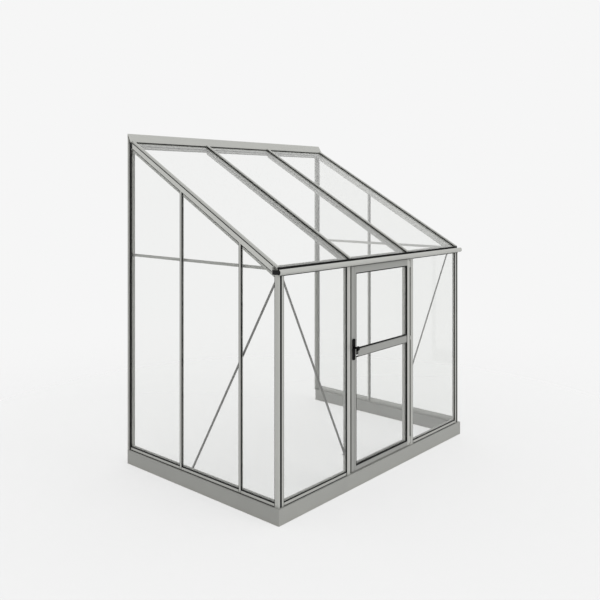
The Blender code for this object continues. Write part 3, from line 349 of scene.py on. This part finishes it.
class RubberSettings(bpy.types.PropertyGroup):
    """Sizes of the rubber, the trims against the wall and the stops in the gutter, whose black paints
    the shade inside its ends.
    """

    cover: bpy.props.FloatProperty(
        name="Edge Cover", description="How far the metal covers a pane's edge",
        unit="LENGTH", default=0.009)
    sill_cover: bpy.props.FloatProperty(
        name="Sill Cover", description="Height of the sill's front above a pane's foot", unit="LENGTH",
        default=0.0205)
    width: bpy.props.FloatProperty(
        name="Width", description="Width of the rubber on the glass", unit="LENGTH", default=0.006)
    leaf_width: bpy.props.FloatProperty(
        name="Leaf Width", description="Width of the rubber in the door leaf",
        unit="LENGTH", default=0.009)
    height: bpy.props.FloatProperty(
        name="Height", description="How far the rubber stands out from the glass", unit="LENGTH",
        default=0.0065)
    leaf_height: bpy.props.FloatProperty(
        name="Leaf Height", description="The same in the door leaf", unit="LENGTH", default=0.0105)
    roof_height: bpy.props.FloatProperty(
        name="Roof Height", description="The same beside the caps of the roof",
        unit="LENGTH", default=0.006)
    edge: bpy.props.FloatProperty(
        name="Soft Edge", description="Rounding of the rubber", unit="LENGTH", default=0.0015)
    fit: bpy.props.FloatProperty(
        name="Fit", description="Play between the rubber and what it touches",
        unit="LENGTH", default=0.0002)
    groove: bpy.props.FloatProperty(
        name="Post Groove", description="Width of the groove in a corner post",
        unit="LENGTH", default=0.021)
    groove_depth: bpy.props.FloatProperty(
        name="Groove Depth", description="Thickness of the strip in that groove", unit="LENGTH",
        default=0.0034)
    groove_at: bpy.props.FloatProperty(
        name="Groove Place", description="Middle of the groove, in from the corner", unit="LENGTH",
        default=0.0245)
    end_width: bpy.props.FloatProperty(
        name="Verge Width", description="Width of the strips under the end caps",
        unit="LENGTH", default=0.0062)
    end_height: bpy.props.FloatProperty(
        name="Verge Height", description="Height of the strips under the end caps", unit="LENGTH",
        default=0.0087)
    end_rise: bpy.props.FloatProperty(
        name="Verge Rise", description="Middle of those strips above the glass's underside",
        unit="LENGTH", default=0.0013)
    eaves_thickness: bpy.props.FloatProperty(
        name="Eaves Thickness", description="Thickness of the strip along the eaves", unit="LENGTH",
        default=0.0030)
    eaves_height: bpy.props.FloatProperty(
        name="Eaves Height", description="Height of the strip along the eaves",
        unit="LENGTH", default=0.0055)
    # The part of this strip below the beam paints the shade under the gutter.
    eaves_drop: bpy.props.FloatProperty(
        name="Eaves Drop", description="How far that strip hangs below the beam", unit="LENGTH",
        default=0.0025)
    # This strip also paints the shade inside the gutter's opening.
    drip_height: bpy.props.FloatProperty(
        name="Drip Height", description="Height of the strip at the foot of the roof glass",
        unit="LENGTH", default=0.019)
    # At the sills' foot these strips also paint the shade of the gap above the base.
    foot_height: bpy.props.FloatProperty(
        name="Foot Height", description="Height of the strips at the sills' foot and on the ridge beam",
        unit="LENGTH", default=0.0045)
    ridge_rise: bpy.props.FloatProperty(
        name="Ridge Rise", description="Height of the upper of those lines on the ridge beam",
        unit="LENGTH", default=0.026)
    trim_depth: bpy.props.FloatProperty(
        name="Wall Trim", description="Depth of the metal strip against the house wall", unit="LENGTH",
        default=0.014)
    seal_depth: bpy.props.FloatProperty(
        name="Wall Seal", description="Depth of the rubber strip beside it",
        unit="LENGTH", default=0.012)
    gutter_roll: bpy.props.FloatProperty(
        name="Gutter Roll", description="Outer radius of the gutter's front",
        unit="LENGTH", default=0.023)
    gutter_wall: bpy.props.FloatProperty(
        name="Gutter Wall", description="Thickness of the gutter", unit="LENGTH", default=0.003)
    # The stops are black to paint the shade inside the gutter's ends.
    stop_height: bpy.props.FloatProperty(
        name="Stop Height", description="Height of the stops behind the roll",
        unit="LENGTH", default=0.034)


class FastenerSettings(bpy.types.PropertyGroup):
    """Sizes of the screws, the nuts and the clip on the door."""

    screw_radius: bpy.props.FloatProperty(
        name="Screw Radius", description="Radius of a screw head", unit="LENGTH", default=0.0040)
    bolt_radius: bpy.props.FloatProperty(
        name="Bolt Radius", description="Radius of a nut across its corners",
        unit="LENGTH", default=0.0065)
    head: bpy.props.FloatProperty(
        name="Head Height", description="Height of a head", unit="LENGTH", default=0.0030)
    clip_width: bpy.props.FloatProperty(
        name="Clip Width", description="Width of the clip on the leaf's hinge edge", unit="LENGTH",
        default=0.012)
    clip_height: bpy.props.FloatProperty(
        name="Clip Height", description="Height of that clip", unit="LENGTH", default=0.036)


class StudioSettings(bpy.types.PropertyGroup):
    """Floor, light and camera."""

    floor_colour: bpy.props.FloatVectorProperty(
        name="Floor", description="Colour of the floor", subtype="COLOR", size=3,
        min=0.0, max=1.0, default=(0.90, 0.90, 0.90))
    floor_radius: bpy.props.FloatProperty(
        name="Floor Radius", description="Where the floor has faded out",
        unit="LENGTH", default=7.0)
    floor_strength: bpy.props.FloatProperty(
        name="Floor Strength", description="How strongly the floor stands before the backdrop",
        default=0.36)
    backdrop: bpy.props.FloatProperty(
        name="Backdrop", description="Level of the background in the picture", default=0.922)
    room: bpy.props.FloatProperty(
        name="Room Light", description="Level of the light from all round", default=0.80)
    key: bpy.props.FloatProperty(
        name="Key Light", description="Strength of the soft lamp in front", default=0.85)
    key_tilt: bpy.props.FloatProperty(
        name="Key Tilt", description="Tilt of that lamp from straight down", subtype="ANGLE",
        default=math.radians(48))
    key_turn: bpy.props.FloatProperty(
        name="Key Turn", description="Turn of that lamp about the Z axis", subtype="ANGLE",
        default=math.radians(12))
    key_spread: bpy.props.FloatProperty(
        name="Key Spread", description="How wide that lamp looks, for soft shadows", subtype="ANGLE",
        default=math.radians(35))
    lens: bpy.props.FloatProperty(
        name="Lens", description="Focal length in millimetres", default=43.447)
    shift: bpy.props.FloatProperty(
        name="Shift", description="Upright shift of the camera", default=-0.1854)
    camera_place: bpy.props.FloatVectorProperty(
        name="Camera", description="Place of the camera", subtype="TRANSLATION", size=3,
        default=(-5.2459, -4.5433, 2.4852))
    camera_turn: bpy.props.FloatProperty(
        name="Turn", description="Turn of the camera, from the Y axis to the right",
        subtype="ANGLE",
        default=math.radians(48.7215))


# Operators


class GREENHOUSE_OT_finishes(bpy.types.Operator):
    """Give every piece of the frame its finish"""

    bl_idname = "greenhouse.finishes"
    bl_label = "Finishes"

    def execute(self, context):
        look = context.scene.greenhouse_finish
        along = 0.02
        upright = extruded_aluminium("aluminium_upright", look.aluminium, (1.0, 1.0, along))
        level = extruded_aluminium("aluminium_level", look.aluminium, (along, 1.0, 1.0))
        deep = extruded_aluminium("aluminium_deep", look.aluminium, (1.0, along, 1.0))
        sloped = extruded_aluminium("aluminium_sloped", look.aluminium, (1.0, along, 1.0), PITCH)
        # The end rafters take a lighter copy of the aluminium: painted light.
        verge = extruded_aluminium("aluminium_verge_painted_light", look.verge, (1.0, along, 1.0), PITCH)
        # The latch stile and the rails take a darker copy of the aluminium: painted shade.
        leaf_upright_painted_shade = extruded_aluminium("leaf_upright_painted_shade", look.leaf, (1.0, 1.0, along))
        leaf_level_painted_shade = extruded_aluminium("leaf_level_painted_shade", look.leaf, (along, 1.0, 1.0))
        # The braces take a much darker copy of the aluminium: painted shade.
        braces_painted_shade = extruded_aluminium("aluminium_strut", look.braces_painted_shade, (1.0, 1.0, along))
        base, glass = base_metal(look.base, look.soil), clear_glass(look.glass)
        black = plain_finish("black_coating", look.black, 0.42, 0.0, 0.12, 0.04)
        plain_finish("glazing_rubber", look.rubber, 0.62, 0.0, 0.20, 0.12)
        plain_finish("zinc", look.zinc, 0.36, 0.6, 0.08)
        kinds = (
            (("base_",), base), (("glass_",), glass), (("lock_plate", "knob"), black),
            (("door_stile_latch",), leaf_upright_painted_shade), (("door_rail_",), leaf_level_painted_shade),
            (("rafter_left_end", "rafter_right_end"), verge), (("rafter_", "cap_"), sloped),
            (("sill_front", "eaves", "gutter", "ridge"), level),
            (("sill_left", "sill_right", "gable_rail"), deep),
            (("brace_",), braces_painted_shade), (("corner_", "wall_", "door_", "gable_bar", "hinge_"), upright),
        )
        for name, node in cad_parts.items():
            found = [finish for starts, finish in kinds if name.startswith(starts)]
            if not found:
                raise RuntimeError("No finish for " + name)
            node.data.materials.clear()
            node.data.materials.append(found[0])
        return {"FINISHED"}


def rubber_frame(name, centre, size, turn, height, width, edge, cut=None, open_foot=False):
    """A rubber frame on a pane: a plane, inset to a ring, stood up and softened at its front."""
    deselect()
    bpy.ops.mesh.primitive_plane_add(size=1.0, location=centre, rotation=turn)
    piece = bpy.context.object
    piece.scale = (size[0], size[1], 1.0)
    keep_place(piece, name)
    normal = piece.data.polygons[0].normal.copy()
    bpy.ops.object.mode_set(mode="EDIT")
    bpy.ops.mesh.select_all(action="SELECT")
    if cut:
        bpy.ops.mesh.bisect(plane_co=cut[0], plane_no=cut[1], clear_outer=True)
        bpy.ops.mesh.select_all(action="SELECT")
    bpy.ops.mesh.inset(thickness=width, depth=0.0, use_boundary=True)
    bpy.ops.mesh.delete(type="FACE")
    if open_foot:
        shape = bmesh.from_edit_mesh(piece.data)
        lowest = min(face.calc_center_median().z for face in shape.faces)
        pick_faces(piece, lambda middle, facing: middle.z < lowest + width)
        bpy.ops.mesh.delete(type="FACE")
    bpy.ops.mesh.select_all(action="SELECT")
    move = {"value": normal * height}
    bpy.ops.mesh.extrude_region_move(TRANSFORM_OT_translate=move)
    bpy.ops.mesh.select_all(action="SELECT")
    bpy.ops.mesh.normals_make_consistent(inside=False)
    front = Vector(centre).dot(normal) + height
    pick_edges(piece, lambda point: abs(point.dot(normal) - front) < height * 0.01)
    bpy.ops.mesh.bevel(offset=edge, segments=2, affect="EDGES")
    bpy.ops.object.mode_set(mode="OBJECT")
    piece.data.materials.append(finish_named("glazing_rubber"))
    return piece


class GREENHOUSE_OT_wall_rubber(bpy.types.Operator):
    """Lay black rubber round the panes of the front and the door"""

    bl_idname = "greenhouse.wall_rubber"
    bl_label = "Wall Rubber"

    def execute(self, context):
        sizes = context.scene.greenhouse_rubber
        cover, fit = sizes.cover + sizes.fit, sizes.fit
        rail_low, rail_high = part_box("door_rail_cover")
        for pane, low_edge, high_edge, width, height, body in (
            ("glass_front_left", None, EAVES, sizes.width, sizes.height, "frame"),
            ("glass_front_right", None, EAVES, sizes.width, sizes.height, "frame"),
            ("glass_door_lower", None, rail_low.z, sizes.leaf_width, sizes.leaf_height, "door"),
            ("glass_door_upper", rail_high.z, None, sizes.leaf_width, sizes.leaf_height, "door"),
        ):
            low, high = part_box(pane)
            foot = low.z + (sizes.sill_cover if body == "frame" else sizes.cover)
            foot = (low_edge or foot) + fit
            head = (high_edge or high.z - sizes.cover) - fit
            middle = ((low.x + high.x) / 2, low.y - fit, (foot + head) / 2)
            size = (high.x - low.x - 2 * cover, head - foot)
            piece = rubber_frame(pane.replace("glass", "rubber"), middle, size, (QUARTER, 0.0, 0.0),
                                 height, width, sizes.edge)
            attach(piece, body)
        return {"FINISHED"}


class GREENHOUSE_OT_gable_rubber(bpy.types.Operator):
    """Lay black rubber round the panes of the gables"""

    bl_idname = "greenhouse.gable_rubber"
    bl_label = "Gable Rubber"

    def execute(self, context):
        sizes = context.scene.greenhouse_rubber
        cover = sizes.cover * 2 / 3 + sizes.fit
        peak = Vector((0.0, GABLE_TOPS[1].y, GABLE_TOPS[1].z))
        line = peak - OFF_ROOF * (sizes.cover + sizes.fit)
        for pane in sorted(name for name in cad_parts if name.startswith("glass_gable")):
            low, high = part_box(pane)
            left = "_left_" in pane
            outer = low.x - sizes.fit if left else high.x + sizes.fit
            front = low.y + (sizes.cover if "front" in pane else cover)
            foot = low.z + sizes.sill_cover
            middle = (outer, (front + high.y - cover) / 2, (foot + high.z) / 2)
            size = (high.y - cover - front, high.z - foot)
            turn = (QUARTER, 0.0, -QUARTER if left else QUARTER)
            piece = rubber_frame(pane.replace("glass", "rubber"), middle, size, turn, sizes.height,
                                 sizes.width, sizes.edge, cut=(line, OFF_ROOF))
            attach(piece, "frame")
        return {"FINISHED"}


class GREENHOUSE_OT_roof_rubber(bpy.types.Operator):
    """Lay black rubber beside the caps and under the flashing of the roof"""

    bl_idname = "greenhouse.roof_rubber"
    bl_label = "Roof Rubber"

    def execute(self, context):
        sizes = context.scene.greenhouse_rubber
        caps = [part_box("cap_" + name) for name in RAFTERS]
        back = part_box("ridge_flashing")[0].y - sizes.fit
        for name, before, after in zip(("left", "middle", "right"), caps, caps[1:]):
            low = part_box("glass_roof_" + name)[0]
            left, right = before[1].x + sizes.fit, after[0].x - sizes.fit
            if back <= low.y or right <= left:
                raise RuntimeError("A roof pane has no room for its rubber")
            crown = low.z + PANE * math.cos(PITCH) + sizes.fit
            top = crown + (back - low.y + PANE * math.sin(PITCH)) * math.tan(PITCH)
            size = (right - left, (back - low.y) / math.cos(PITCH))
            middle = ((left + right) / 2, (low.y + back) / 2, (crown + top) / 2)
            piece = rubber_frame("rubber_roof_" + name, middle, size, (PITCH, 0.0, 0.0),
                                 sizes.roof_height, sizes.width, sizes.edge, open_foot=True)
            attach(piece, "frame")
        return {"FINISHED"}


def straight_strip(name, size, place, turn, edge, finish="glazing_rubber", body="frame"):
    """A straight strip: a cube drawn out to size, its long edges softened and its ends cut in."""
    deselect()
    bpy.ops.mesh.primitive_cube_add(size=1.0)
    piece = bpy.context.object
    piece.scale = size
    keep_place(piece, name)
    long_way = max(range(3), key=lambda axis: size[axis])
    end = size[long_way] / 2
    bpy.ops.object.mode_set(mode="EDIT")
    pick_faces(piece, lambda middle, facing: abs(middle[long_way]) > end * 0.99)
    bpy.ops.mesh.inset(thickness=edge, depth=-edge)
    bpy.ops.mesh.select_all(action="SELECT")
    bpy.ops.mesh.bevel(offset=edge / 3, segments=1, affect="EDGES")
    bpy.ops.object.mode_set(mode="OBJECT")
    piece.location, piece.rotation_euler = place, turn
    keep_place(piece, name)
    piece.data.materials.append(finish_named(finish))
    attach(piece, body)
    return piece


class GREENHOUSE_OT_strips(bpy.types.Operator):
    """Press rubber strips into the corner posts, under the end caps and at eaves, sills and ridge; at
    the eaves and the sills they also paint shade
    """

    bl_idname = "greenhouse.strips"
    bl_label = "Rubber Strips"

    def execute(self, context):
        sizes = context.scene.greenhouse_rubber
        self.post_strips(sizes, sizes.edge / 2)
        self.verge_strips(sizes, sizes.edge / 2)
        self.eaves_strips(sizes, sizes.edge / 4)
        self.foot_strips(sizes, sizes.edge / 4)
        self.ridge_strips(sizes, sizes.edge / 4)
        return {"FINISHED"}

    def post_strips(self, sizes, edge):
        """A strip in the groove of each corner post."""
        for side, name in ((1.0, "left"), (-1.0, "right")):
            low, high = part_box("corner_post_" + name)
            corner = low.x if side > 0 else high.x
            size = (sizes.groove - 2 * sizes.fit, sizes.groove_depth, high.z - low.z)
            place = (corner + side * sizes.groove_at, low.y + sizes.groove_depth / 2 + sizes.fit,
                     (low.z + high.z) / 2)
            straight_strip("rubber_post_" + name, size, place, UNTURNED, edge)

    def verge_strips(self, sizes, edge):
        """A strip between the end cap and the end rafter on each side of the roof."""
        low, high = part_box("rafter_left_end")
        length = (high.y - low.y) / math.cos(PITCH) - 2 * sizes.end_height
        seat = Vector((0.0, PANE_LOW.y + PANE * math.sin(PITCH), PANE_LOW.z))
        start = seat + UP_ROOF * ((low.y - seat.y) / math.cos(PITCH) + sizes.end_height)
        middle = start + UP_ROOF * (length / 2) + OFF_ROOF * sizes.end_rise
        inset = sizes.end_width / 2 + sizes.fit
        for name, x in (("left", GABLE_LEFT + inset), ("right", GABLE_RIGHT - inset)):
            straight_strip("rubber_verge_" + name, (sizes.end_width, length, sizes.end_height),
                           (x, middle.y, middle.z), (PITCH, 0.0, 0.0), edge)

    def eaves_strips(self, sizes, edge):
        """A black strip on the front of the eaves beam, hanging below it, and one at the foot of the
        roof glass: rubber, and painted shade under the gutter and inside it.
        """
        low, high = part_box("eaves_beam")
        thick = sizes.eaves_thickness
        inset = thick / 2 + sizes.fit
        lines = (
            ("rubber_eaves", sizes.eaves_height, low.y, low.z - sizes.eaves_drop),
            ("rubber_and_shade_drip", sizes.drip_height, PANE_LOW.y, PANE_LOW.z - sizes.fit * 5),
        )
        for name, tall, front, foot in lines:
            straight_strip(name, (high.x - low.x, thick, tall),
                           ((low.x + high.x) / 2, front - inset, foot + tall / 2), UNTURNED, edge)

    def foot_strips(self, sizes, edge):
        """Black strips at the foot of every sill, on its outer face: rubber, and painted shade of the
        gap above the base.
        """
        thick, tall = sizes.eaves_thickness, sizes.foot_height
        inset = thick / 2 + sizes.fit
        for name in ("sill_front_left", "sill_front_right", "sill_left", "sill_right"):
            low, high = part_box(name)
            middle = (low + high) / 2
            middle.z = low.z + tall / 2
            if "front" in name:
                middle.y = low.y - inset
                size = (high.x - low.x, thick, tall)
            else:
                middle.x = low.x - inset if low.x < 0 else high.x + inset
                size = (thick, high.y - low.y, tall)
            straight_strip(name.replace("sill", "rubber_foot"), size, middle, UNTURNED, edge)

    def ridge_strips(self, sizes, edge):
        """Two strips on the front of the ridge beam in every bay between the rafters."""
        rafters = [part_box("rafter_" + name) for name in RAFTERS]
        low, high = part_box("ridge_beam")
        thick, tall = sizes.eaves_thickness, sizes.foot_height
        for number, (before, after) in enumerate(zip(rafters, rafters[1:]), 1):
            first, last = before[1].x + tall, after[0].x - tall
            for line, rise in (("low", tall / 2), ("middle", sizes.ridge_rise)):
                place = ((first + last) / 2, low.y - thick / 2 - sizes.fit, low.z + rise)
                straight_strip("rubber_ridge_%d_%s" % (number, line), (last - first, thick, tall),
                               place, UNTURNED, edge)


class GREENHOUSE_OT_wall_trims(bpy.types.Operator):
    """Close the gables against the house wall with a metal strip and a rubber strip"""

    bl_idname = "greenhouse.wall_trims"
    bl_label = "Wall Trims"

    def execute(self, context):
        sizes = context.scene.greenhouse_rubber
        fit, thick = sizes.fit, sizes.eaves_thickness
        wall = CAD_BOX[1][1] - fit
        foot, head = FOOT + 2 * fit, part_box("ridge_beam")[1].z - 2 * fit
        trim = (GABLE_LEFT - CAD_BOX[0][0] - 2 * fit, sizes.trim_depth, head - foot)
        seal = (thick, sizes.seal_depth, head - foot - sizes.seal_depth)
        trim_x, seal_x = CAD_BOX[0][0] + fit + trim[0] / 2, GABLE_LEFT - fit - thick / 2
        trim_y = wall - sizes.trim_depth / 2
        seal_y = wall - sizes.trim_depth - fit - sizes.seal_depth / 2
        for side, name in ((1.0, "left"), (-1.0, "right")):
            straight_strip("wall_trim_" + name, trim, (side * trim_x, trim_y, (foot + head) / 2),
                           UNTURNED, sizes.edge / 2, "aluminium_upright")
            straight_strip("rubber_wall_" + name, seal, (side * seal_x, seal_y, foot + seal[2] / 2),
                           UNTURNED, sizes.edge / 2)
        return {"FINISHED"}


class GREENHOUSE_OT_gutter_stops(bpy.types.Operator):
    """Close the two ends of the gutter with black stops, which paint the shade inside its hollow ends
    """

    bl_idname = "greenhouse.gutter_stops"
    bl_label = "Gutter Stops"

    def execute(self, context):
        sizes = context.scene.greenhouse_rubber
        low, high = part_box("gutter")
        wall, fit, thick = sizes.gutter_wall, sizes.fit, sizes.eaves_thickness
        radius = sizes.gutter_roll - wall - fit
        centre_y, centre_z = low.y + sizes.gutter_roll, low.z + sizes.gutter_roll
        # Plug and stop are black rubber that paints the shade inside the gutter's end.
        for side, name in ((low.x, "left"), (high.x, "right")):
            x = side - math.copysign(thick / 2 + fit, side)
            deselect()
            bpy.ops.mesh.primitive_cylinder_add(vertices=40, radius=radius, depth=thick)
            plug = bpy.context.object
            bpy.ops.object.mode_set(mode="EDIT")
            pick_faces(plug, lambda middle, facing: abs(facing.z) > 0.9)
            bpy.ops.mesh.inset(thickness=radius * 0.2, depth=-thick * 0.2)
            bpy.ops.object.mode_set(mode="OBJECT")
            bpy.ops.object.shade_smooth_by_angle(angle=math.radians(35))
            plug.location, plug.rotation_euler = (x, centre_y, centre_z), (0.0, QUARTER, 0.0)
            keep_place(plug, "gutter_plug_painted_shade_" + name)
            plug.data.materials.append(finish_named("glazing_rubber"))
            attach(plug, "frame")
            first, last = centre_y + radius + fit, high.y - wall - fit
            place = (x, (first + last) / 2, low.z + wall + fit + sizes.stop_height / 2)
            straight_strip("gutter_stop_painted_shade_" + name, (thick, last - first, sizes.stop_height), place,
                           UNTURNED, sizes.edge / 2)
        return {"FINISHED"}


def screw_head(name, radius, height, place, turn, sides):
    """A screw, with a softened rim and a sunk middle, or with six sides a nut on its bolt's end."""
    deselect()
    bpy.ops.mesh.primitive_cylinder_add(vertices=sides, radius=radius, depth=height,
                                        location=(0.0, 0.0, height / 2))
    piece = bpy.context.object
    bpy.ops.object.transform_apply(location=True, rotation=True, scale=True)
    bpy.ops.object.mode_set(mode="EDIT")
    pick_edges(piece, lambda point: point.z > height * 0.9)
    bpy.ops.mesh.bevel(offset=height * 0.3, segments=2, affect="EDGES")
    pick_faces(piece, lambda middle, facing: facing.z > 0.9 and middle.z > height * 0.9)
    bpy.ops.mesh.inset(thickness=radius * 0.45, depth=0.0)
    step = -height * 0.4 if sides > 6 else height * 0.5
    bpy.ops.mesh.extrude_region_move(TRANSFORM_OT_translate={"value": (0.0, 0.0, step)})
    bpy.ops.object.mode_set(mode="OBJECT")
    bpy.ops.object.shade_smooth_by_angle(angle=math.radians(35))
    piece.location, piece.rotation_euler = place, turn
    keep_place(piece, name)
    piece.data.materials.append(finish_named("zinc"))
    return piece


class GREENHOUSE_OT_fasteners(bpy.types.Operator):
    """Put the screws in the lock plate, the clip on the door's hinge edge and the nuts on the braces"""

    bl_idname = "greenhouse.fasteners"
    bl_label = "Fasteners"

    def execute(self, context):
        sizes = context.scene.greenhouse_fasteners
        self.plate_screws(sizes)
        self.hinge_clip(sizes)
        self.brace_nuts(sizes)
        return {"FINISHED"}

    def plate_screws(self, sizes):
        """Two black screws, as far from the plate's ends as from its sides."""
        low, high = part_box("lock_plate")
        inset = (high.x - low.x) / 2
        for name, z in (("low", low.z + inset), ("high", high.z - inset)):
            screw = screw_head("plate_screw_" + name, sizes.screw_radius, sizes.head / 2,
                               ((low.x + high.x) / 2, low.y, z), (QUARTER, 0.0, 0.0), 16)
            screw.data.materials[0] = finish_named("black_coating")
            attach(screw, "door")

    def hinge_clip(self, sizes):
        """A clip round the hinge barrel, level with the middle rail and inside the door's swing."""
        hinge_low, hinge_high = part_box("hinge_top")
        rail_low, rail_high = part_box("door_rail_cover")
        width, barrel, proud = sizes.clip_width, (hinge_high.y - hinge_low.y) / 2, sizes.head / 3
        place = (hinge_low.x + barrel - width / 6, hinge_low.y - proud + width / 2,
                 (rail_low.z + rail_high.z) / 2)
        straight_strip("hinge_clip", (width, width, sizes.clip_height), place, UNTURNED, proud,
                       "aluminium_upright", "door")

    def brace_nuts(self, sizes):
        """A nut near both ends of each front brace, on the inside."""
        reach = sizes.bolt_radius * 1.6
        for name, side in (("left", 1.0), ("right", -1.0)):
            low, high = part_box("brace_front_" + name)
            head_x, foot_x = (low.x, high.x) if side > 0 else (high.x, low.x)
            ends = (("head", head_x + side * reach, high.z - reach),
                    ("foot", foot_x - side * reach, low.z + reach))
            for end, x, z in ends:
                nut = screw_head("nut_" + name + "_" + end, sizes.bolt_radius, sizes.head * 1.4,
                                 (x, high.y, z), (-QUARTER, 0.0, 0.0), 6)
                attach(nut, "frame")


class GREENHOUSE_OT_studio(bpy.types.Operator):
    """Set up the floor, the light and the camera"""

    bl_idname = "greenhouse.studio"
    bl_label = "Studio"

    def execute(self, context):
        settings = context.scene.greenhouse_studio
        deselect()
        self.make_floor(settings)
        self.make_room(context, settings)
        bpy.ops.object.light_add(type="SUN", location=(3.0, -6.0, 6.0),
                                 rotation=(settings.key_tilt, 0.0, settings.key_turn))
        key = bpy.context.object
        key.name = "key_light"
        key.data.energy = settings.key
        key.data.angle = settings.key_spread
        # The lamp lights the pieces but isn't mirrored in the glass or seen through it.
        key.visible_glossy = False
        key.visible_transmission = False
        bpy.ops.object.camera_add(location=settings.camera_place,
                                  rotation=(QUARTER, 0.0, -settings.camera_turn))
        camera = bpy.context.object
        camera.name = "picture_camera"
        camera.data.lens = settings.lens
        camera.data.shift_y = settings.shift
        camera.data.clip_end = 200.0
        context.scene.camera = camera
        context.scene.view_settings.view_transform = "Standard"
        return {"FINISHED"}

    def make_floor(self, settings):
        """A round floor that fades into the backdrop."""
        bpy.ops.mesh.primitive_circle_add(vertices=96, radius=settings.floor_radius,
                                          fill_type="NGON", location=(0.0, 0.0, 0.0))
        floor = keep_place(bpy.context.object, "floor")
        material, nodes, links, shader, place = new_material("floor_paint")
        group = varied(nodes, links, place, settings.floor_colour,
                       {"Cloud Size": 0.7, "Grain Size": 60.0, "Tone": 0.01, "Grain": 0.005,
                        "Roughness": 0.85, "Roughness Change": 0.05})
        links.new(group.outputs["Colour"], shader.inputs["Base Color"])
        links.new(group.outputs["Roughness"], shader.inputs["Roughness"])
        shader.inputs["Specular IOR Level"].default_value = 0.0
        distance = nodes.new("ShaderNodeVectorMath")
        distance.operation = "LENGTH"
        fade = nodes.new("ShaderNodeMapRange")
        fade.interpolation_type = "SMOOTHSTEP"
        fade.inputs["From Min"].default_value = settings.floor_radius * 0.35
        fade.inputs["From Max"].default_value = settings.floor_radius * 0.98
        fade.inputs["To Min"].default_value = settings.floor_strength
        fade.inputs["To Max"].default_value = 0.0
        links.new(place, distance.inputs[0])
        links.new(distance.outputs["Value"], fade.inputs["Value"])
        links.new(fade.outputs[0], shader.inputs["Alpha"])
        floor.data.materials.append(material)

    def make_room(self, context, settings):
        """Even light from all round, and a pale backdrop for the camera, metal and glass."""
        world = bpy.data.worlds.new("room")
        world.use_nodes = True
        context.scene.world = world
        nodes, links = world.node_tree.nodes, world.node_tree.links
        background = nodes["Background"]
        background.inputs["Color"].default_value = (1.0, 1.0, 1.0, 1.0)
        path = nodes.new("ShaderNodeLightPath")
        shown = nodes.new("ShaderNodeMath")
        shown.operation = "MAXIMUM"
        seen = nodes.new("ShaderNodeMath")
        seen.operation = "MAXIMUM"
        level = nodes.new("ShaderNodeMapRange")
        level.inputs["To Min"].default_value = settings.room
        level.inputs["To Max"].default_value = settings.backdrop
        links.new(path.outputs["Is Camera Ray"], shown.inputs[0])
        links.new(path.outputs["Is Transmission Ray"], shown.inputs[1])
        links.new(shown.outputs[0], seen.inputs[0])
        links.new(path.outputs["Is Glossy Ray"], seen.inputs[1])
        links.new(seen.outputs[0], level.inputs["Value"])
        links.new(level.outputs[0], background.inputs["Strength"])


class GREENHOUSE_PT_steps(bpy.types.Panel):
    """Steps that dress the greenhouse"""

    bl_label = "Greenhouse"
    bl_idname = "GREENHOUSE_PT_steps"
    bl_space_type = "VIEW_3D"
    bl_region_type = "UI"
    bl_category = "Greenhouse"

    def draw(self, context):
        for step in OPERATORS:
            self.layout.operator(step.bl_idname)
        for group in SETTINGS:
            settings = getattr(context.scene, group)
            for name in settings.__annotations__:
                self.layout.prop(settings, name)


SETTINGS = {
    "greenhouse_finish": FinishSettings,
    "greenhouse_rubber": RubberSettings,
    "greenhouse_fasteners": FastenerSettings,
    "greenhouse_studio": StudioSettings,
}
OPERATORS = (
    GREENHOUSE_OT_finishes, GREENHOUSE_OT_wall_rubber, GREENHOUSE_OT_gable_rubber,
    GREENHOUSE_OT_roof_rubber, GREENHOUSE_OT_strips, GREENHOUSE_OT_wall_trims,
    GREENHOUSE_OT_gutter_stops, GREENHOUSE_OT_fasteners, GREENHOUSE_OT_studio,
)


def register():
    for group in SETTINGS.values():
        bpy.utils.register_class(group)
    for name, group in SETTINGS.items():
        setattr(bpy.types.Scene, name, bpy.props.PointerProperty(type=group))
    for step in OPERATORS:
        bpy.utils.register_class(step)
    bpy.utils.register_class(GREENHOUSE_PT_steps)


def unregister():
    bpy.utils.unregister_class(GREENHOUSE_PT_steps)
    for step in reversed(OPERATORS):
        bpy.utils.unregister_class(step)
    for name, group in SETTINGS.items():
        delattr(bpy.types.Scene, name)
        bpy.utils.unregister_class(group)


def main():
    """Make everything in order."""
    register()
    bpy.ops.greenhouse.finishes()
    bpy.ops.greenhouse.wall_rubber()
    bpy.ops.greenhouse.gable_rubber()
    bpy.ops.greenhouse.roof_rubber()
    bpy.ops.greenhouse.strips()
    bpy.ops.greenhouse.wall_trims()
    bpy.ops.greenhouse.gutter_stops()
    bpy.ops.greenhouse.fasteners()
    bpy.ops.greenhouse.studio()


if __name__ == "__main__":
    main()
